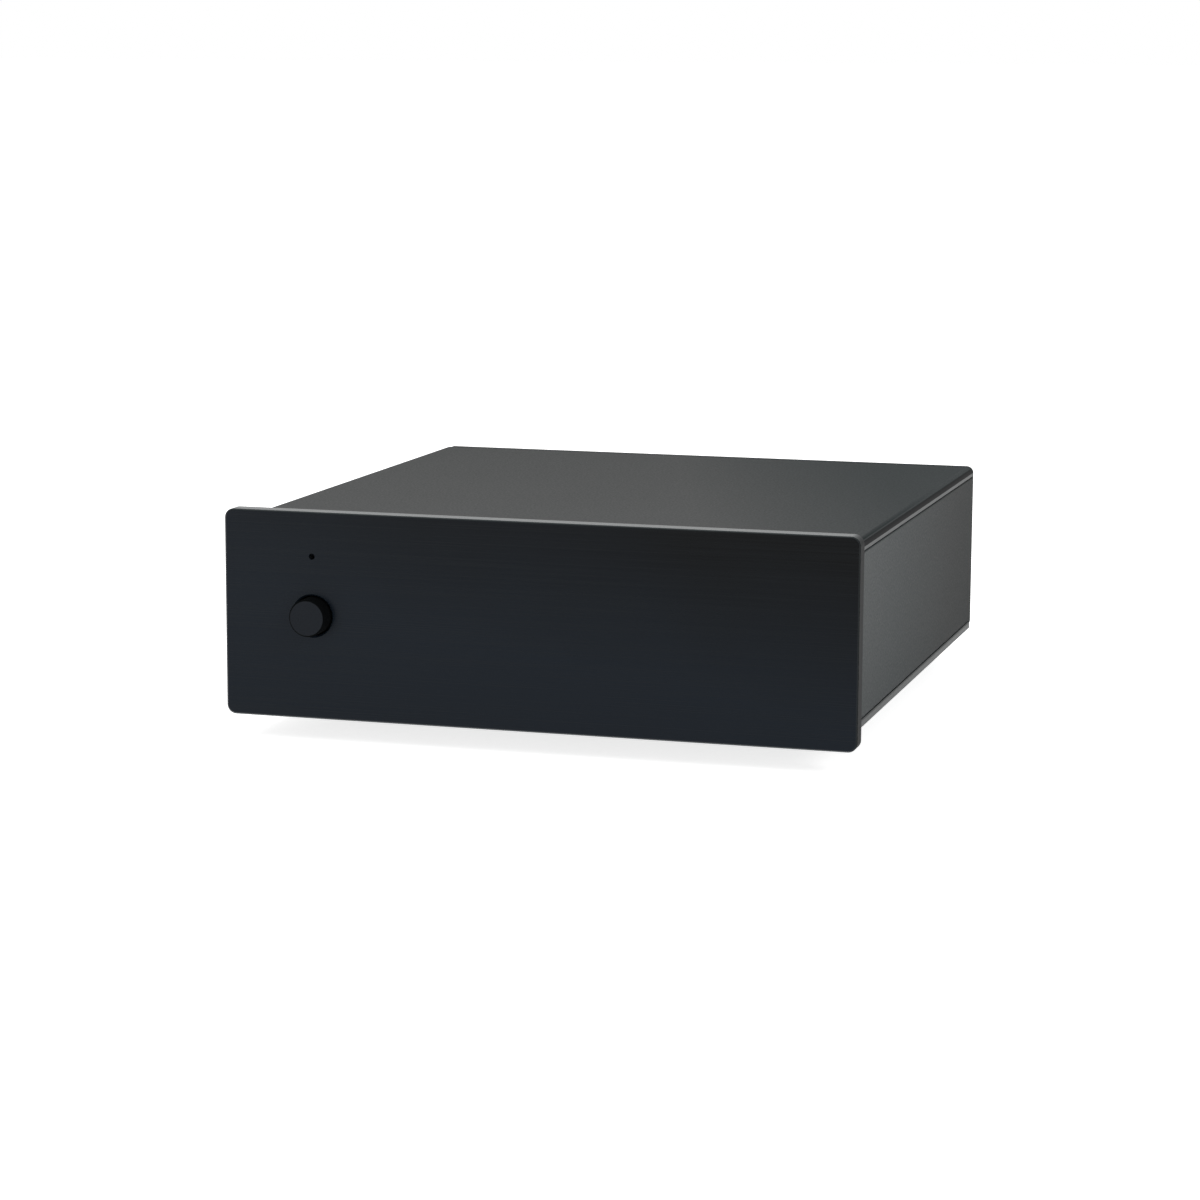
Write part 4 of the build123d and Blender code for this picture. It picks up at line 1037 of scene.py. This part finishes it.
class PREAMP_OT_setting_switches(PreampOperator, bpy.types.Operator):
    """Finishes the setting switches and prints their numbers"""

    bl_idname = "preamp.setting_switches"
    bl_label = "Setting switches"

    def execute(self, context):
        ink = cast_epoxy("printed_epoxy_ink", self.finish.print_ink, 0.5)
        height = self.sizes.number_height
        for side in SIDES:
            bank = f"setting_switch_{side}"
            dress((bank,), nylon(self.finish, "setting_plastic"))
            dress([f"setting_slider_{side}_{way}" for way in WAYS], nylon(self.finish, "white_nylon"))
            low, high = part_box(bank)
            print_shape = bmesh.new()
            for way in WAYS:
                across = middle(f"setting_slider_{side}_{way}").x
                self.print_words(print_shape, str(way), Vector((across, low.y + height, low.z)))
            on_place = Vector((low.x + 1.6 * height, high.y - height, low.z))
            self.print_words(print_shape, "ON", on_place)
            finish_piece(f"setting_numbers_{side}", print_shape, "case", [ink])
        return {"FINISHED"}

    def print_words(self, shape, words, centre):
        """Adds words in ink to a face that looks down, so that they read from below."""
        size_per_height = 1.4
        curve = bpy.data.curves.new("ink", "FONT")
        curve.body = words
        curve.size = self.sizes.number_height * size_per_height
        curve.extrude = self.sizes.ink_height
        curve.align_x = "CENTER"
        curve.align_y = "CENTER"
        text = bpy.data.objects.new("ink", curve)
        mesh = bpy.data.meshes.new_from_object(text)
        bpy.data.objects.remove(text)
        bpy.data.curves.remove(curve)
        mesh.transform(Matrix.Translation(centre) @ Matrix.Rotation(math.pi, 4, "X"))
        shape.from_mesh(mesh)
        bpy.data.meshes.remove(mesh)
        bmesh.ops.remove_doubles(shape, verts=shape.verts, dist=MERGED)


class PREAMP_OT_screws(PreampOperator, bpy.types.Operator):
    """Models the rear panel's domed screws with hexagon sockets, and finishes the inner screws"""

    bl_idname = "preamp.screws"
    bl_label = "Screws"

    def execute(self, context):
        sizes = self.sizes
        low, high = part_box("rear_panel_screws")
        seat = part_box("rear_panel")[1].y
        head, shank, flat = sizes.screw_head, sizes.screw_shank, sizes.key / 2
        rim, floor = seat + (high.y - seat) * 0.25, high.y - sizes.key_depth
        point, lead, crown, drilled = shank * 0.6, shank * 0.4, flat * 1.2, floor - flat * 0.3
        dome = [
            (head + (crown - head) * math.sin(rise) ** 2, rim + (high.y - rim) * math.sin(rise))
            for rise in QUARTER_TURN
        ]
        shape = turned(
            [
                (0, low.y), (point, low.y), (shank, low.y + lead), (shank, seat), (head, seat),
                *dome, (flat, high.y), (flat, floor), (0, drilled),
            ],
            Vector((0, 0, 0)), steps=48,
        )
        for vert in shape.verts:
            radius = math.hypot(vert.co.x, vert.co.z)
            if vert.co.y > floor - NEAR and abs(radius - flat) < NEAR:
                reach = six_sided(math.atan2(vert.co.z, vert.co.x), flat) / radius
                vert.co = (vert.co.x * reach, vert.co.y, vert.co.z * reach)
        axes = [(box_low + box_high) / 2 for box_low, box_high in solids("rear_panel_screws")]
        copy_to(shape, [Matrix.Translation((axis.x, 0, axis.z)) for axis in axes])
        finish_piece(
            "domed_rear_screws", shape, "case", [black_passivated_zinc(self.finish)],
            ["rear_panel_screws"],
        )
        dress(("subframe_screws", "front_plate_screws", "board_screws"), zinc(self.finish))
        return {"FINISHED"}


class PREAMP_OT_circuit_board(PreampOperator, bpy.types.Operator):
    """Finishes the circuit board and its parts, and models the capacitors and the chips' legs"""

    bl_idname = "preamp.circuit_board"
    bl_label = "Circuit board"

    def execute(self, context):
        finish = self.finish
        dress(("circuit_board",), solder_masked_laminate(finish))
        dress(("board_pillars",), nickel(finish))
        dress(("film_capacitors",), cast_epoxy("cast_film_capacitor_epoxy", finish.film, 0.28))
        dress(("op_amp_chips",), cast_epoxy("moulded_chip_epoxy", finish.epoxy, 0.5))
        tab_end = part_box("voltage_regulator")[0].x + self.sizes.tab_long
        dress(("voltage_regulator",), tabbed_epoxy(finish, tab_end))
        self.capacitors()
        self.chip_legs()
        return {"FINISHED"}

    def capacitors(self):
        """Drawn cans in a shrunk sleeve, crimped near the foot, with a stripe down one side."""
        finish, sizes = self.finish, self.sizes
        shape = bmesh.new()
        for low, high in solids("electrolytic_capacitors"):
            axis = (low + high) / 2
            radius = (high.x - low.x) / 2
            crimp, fold = sizes.crimp, radius - sizes.sleeve_fold
            waist, can_top = low.z + 4 * crimp, high.z - crimp / 3
            stripe_from = radius * 0.85
            can = turned(
                [
                    (0, low.z), (radius - crimp, low.z), (radius, low.z + crimp), (radius, waist - crimp),
                    (radius - crimp, waist), (radius, waist + crimp), (radius, high.z - crimp),
                    (radius - crimp, high.z), (fold, high.z), (fold, can_top), (0, can_top),
                ],
                axis, along="Z", steps=48,
            )
            for face in can.faces:
                centre = face.calc_center_median()
                out = math.hypot(centre.x - axis.x, centre.y - axis.y)
                if centre.z > high.z - crimp and out < fold:
                    face.material_index = 1
                elif centre.x - axis.x > stripe_from and centre.z < high.z - crimp:
                    face.material_index = 2
            join(shape, can)
        finish_piece(
            "sleeved_capacitors", shape, "case",
            [
                cast_epoxy("shrunk_vinyl_sleeve", finish.sleeve, 0.3),
                plated_metal("drawn_aluminium_can", finish.can, 0.34, 0.9 * MM),
                cast_epoxy("printed_sleeve_stripe", finish.stripe, 0.34),
            ],
            ["electrolytic_capacitors"],
        )

    def chip_legs(self):
        """Legs that come out of the chips' sides halfway up and turn down to the board."""
        sizes = self.sizes
        wide, thick, out = sizes.leg_wide, sizes.leg_thick, 3 * sizes.leg_thick
        shape = bmesh.new()
        for low, high in solids("op_amp_chips"):
            centre = (low + high) / 2
            rise, half = centre.z - low.z, (high.y - low.y) / 2
            leg = bmesh.new()
            outline = (
                (0, rise + thick), (out, rise + thick), (out, 0), (out - thick, 0), (out - thick, rise),
                (0, rise),
            )
            side = leg.faces.new([leg.verts.new((-wide / 2, half + y, low.z + z)) for y, z in outline])
            drawn = bmesh.ops.extrude_face_region(leg, geom=[side])["geom"]
            moved = [part for part in drawn if isinstance(part, bmesh.types.BMVert)]
            bmesh.ops.translate(leg, vec=(wide, 0, 0), verts=moved)
            spots = [
                Matrix.Translation((centre.x + step * sizes.leg_pitch, centre.y, 0))
                for step in (-1.5, -0.5, 0.5, 1.5)
            ]
            turns = [Matrix.Rotation(turn, 4, "Z") for turn in (0, math.pi)]
            copy_to(leg, [spot @ turn for spot in spots for turn in turns])
            join(shape, leg)
        tinned = plated_metal("tin_plated_copper", self.finish.tin, 0.3, 0.5 * MM)
        finish_piece("chip_legs", shape, "case", [tinned])


class PREAMP_OT_stage(PreampOperator, bpy.types.Operator):
    """Sets the floor, the white surroundings, the soft lamps and the camera"""

    bl_idname = "preamp.stage"
    bl_label = "Stage"

    def execute(self, context):
        settings = context.scene.preamp_stage
        context.scene.view_settings.view_transform = "Standard"
        self.floor(settings)
        self.world(settings)
        self.lamp("key_lamp", settings.key_power, settings.key_size, settings.key_place, in_gloss=True)
        self.lamp("side_lamp", settings.side_power, settings.side_size, settings.side_place)
        self.lamp("top_lamp", settings.top_power, settings.top_size, settings.top_place)
        self.camera(settings)
        return {"FINISHED"}

    def shown_rays(self, add):
        """1 for rays from the camera, from gloss and through clear stuff, which see plain white."""
        rays = add("LightPath", output=None)
        seen = add("Math", {0: rays["Is Camera Ray"], 1: rays["Is Glossy Ray"]}, operation="MAXIMUM")
        return add("Math", {0: seen, 1: rays["Is Transmission Ray"]}, operation="MAXIMUM")

    def floor(self, settings):
        """A wide floor that glows for the camera, so that it is white with a soft shadow, and that
        is clear from below, so that the object's underside can be looked at."""
        shape = bmesh.new()
        bmesh.ops.create_grid(shape, x_segments=1, y_segments=1, size=settings.floor_reach)
        mesh = bpy.data.meshes.new("floor")
        shape.to_mesh(mesh)
        shape.free()
        floor = bpy.data.objects.new("floor", mesh)
        bpy.context.scene.collection.objects.link(floor)
        material = bpy.data.materials.new("white_painted_floor")
        add = empty_tree(material)
        paint = add("BsdfDiffuse", {"Color": settings.floor})
        strength = add("MapRange", {
            "Value": self.shown_rays(add), "To Min": settings.floor_light, "To Max": settings.floor_glow,
        })
        glow = add("Emission", {"Color": (1, 1, 1, 1), "Strength": strength})
        lit = add("AddShader", {0: paint, 1: glow})
        clear = add("BsdfTransparent")
        below = add("NewGeometry", output="Backfacing")
        surface = add("MixShader", {0: below, 1: lit, 2: clear})
        add("OutputMaterial", {"Surface": surface}, None)
        mesh.materials.append(material)

    def world(self, settings):
        """White for what shows it, and a plain soft light for the rest."""
        world = bpy.data.worlds.new("white_surroundings")
        bpy.context.scene.world = world
        add = empty_tree(world)
        strength = add("MapRange", {
            "Value": self.shown_rays(add), "To Min": settings.world, "To Max": 1.0,
        })
        sky = add("Background", {"Color": (1, 1, 1, 1), "Strength": strength})
        add("OutputWorld", {"Surface": sky}, None)

    def lamp(self, name, power, size, lamp_place, in_gloss=False):
        """A square soft lamp that faces the object, and that gloss shows only where asked."""
        light = bpy.data.lights.new(name, "AREA")
        light.energy = power
        light.size = size
        lamp = bpy.data.objects.new(name, light)
        lamp.location = lamp_place
        lamp.visible_glossy = in_gloss
        to_object = middle("top_cover") - Vector(lamp_place)
        lamp.rotation_euler = to_object.to_track_quat("-Z", "Y").to_euler()
        bpy.context.scene.collection.objects.link(lamp)

    def camera(self, settings):
        """A long lens that looks down a little, from the right of straight ahead."""
        turn, rise = settings.azimuth, settings.elevation
        level = math.cos(rise)
        back = Vector((math.sin(turn) * level, -math.cos(turn) * level, math.sin(rise)))
        camera_data = bpy.data.cameras.new("camera")
        camera_data.lens = settings.lens
        camera_data.sensor_width = settings.sensor
        camera = bpy.data.objects.new("camera", camera_data)
        aimed = (-back).to_track_quat("-Z", "Y").to_matrix().to_4x4()
        rolled = aimed @ Matrix.Rotation(settings.roll, 4, "Z")
        spot = Vector(settings.aim) + back * settings.distance
        camera.matrix_world = Matrix.Translation(spot) @ rolled
        bpy.context.scene.collection.objects.link(camera)
        bpy.context.scene.camera = camera


GROUPS = {"preamp_finish": PreampFinish, "preamp_sizes": PreampSizes, "preamp_stage": PreampStage}
OPERATORS = (
    PREAMP_OT_stage,
    PREAMP_OT_case,
    PREAMP_OT_front_plate,
    PREAMP_OT_power_button,
    PREAMP_OT_pilot_light,
    PREAMP_OT_feet,
    PREAMP_OT_phono_sockets,
    PREAMP_OT_ground_terminal,
    PREAMP_OT_supply_jack,
    PREAMP_OT_setting_switches,
    PREAMP_OT_screws,
    PREAMP_OT_circuit_board,
)


class PREAMP_PT_sidebar(bpy.types.Panel):
    """Lists the settings and the operators"""

    bl_idname = "PREAMP_PT_sidebar"
    bl_label = "Phono preamplifier"
    bl_space_type = "VIEW_3D"
    bl_region_type = "UI"
    bl_category = "Preamplifier"

    def draw(self, context):
        for name in GROUPS:
            settings = getattr(context.scene, name)
            box = self.layout.box()
            for setting in settings.__annotations__:
                box.prop(settings, setting)
        for operator in OPERATORS:
            self.layout.operator(operator.bl_idname)


CLASSES = (*GROUPS.values(), *OPERATORS, PREAMP_PT_sidebar)


def register():
    for cls in CLASSES:
        bpy.utils.register_class(cls)
    for name, group in GROUPS.items():
        setattr(bpy.types.Scene, name, bpy.props.PointerProperty(type=group))


def unregister():
    for name in GROUPS:
        delattr(bpy.types.Scene, name)
    for cls in reversed(CLASSES):
        bpy.utils.unregister_class(cls)


def main():
    register()
    for operator in OPERATORS:
        group, name = operator.bl_idname.split(".")
        getattr(getattr(bpy.ops, group), name)()


if __name__ == "__main__":
    main()
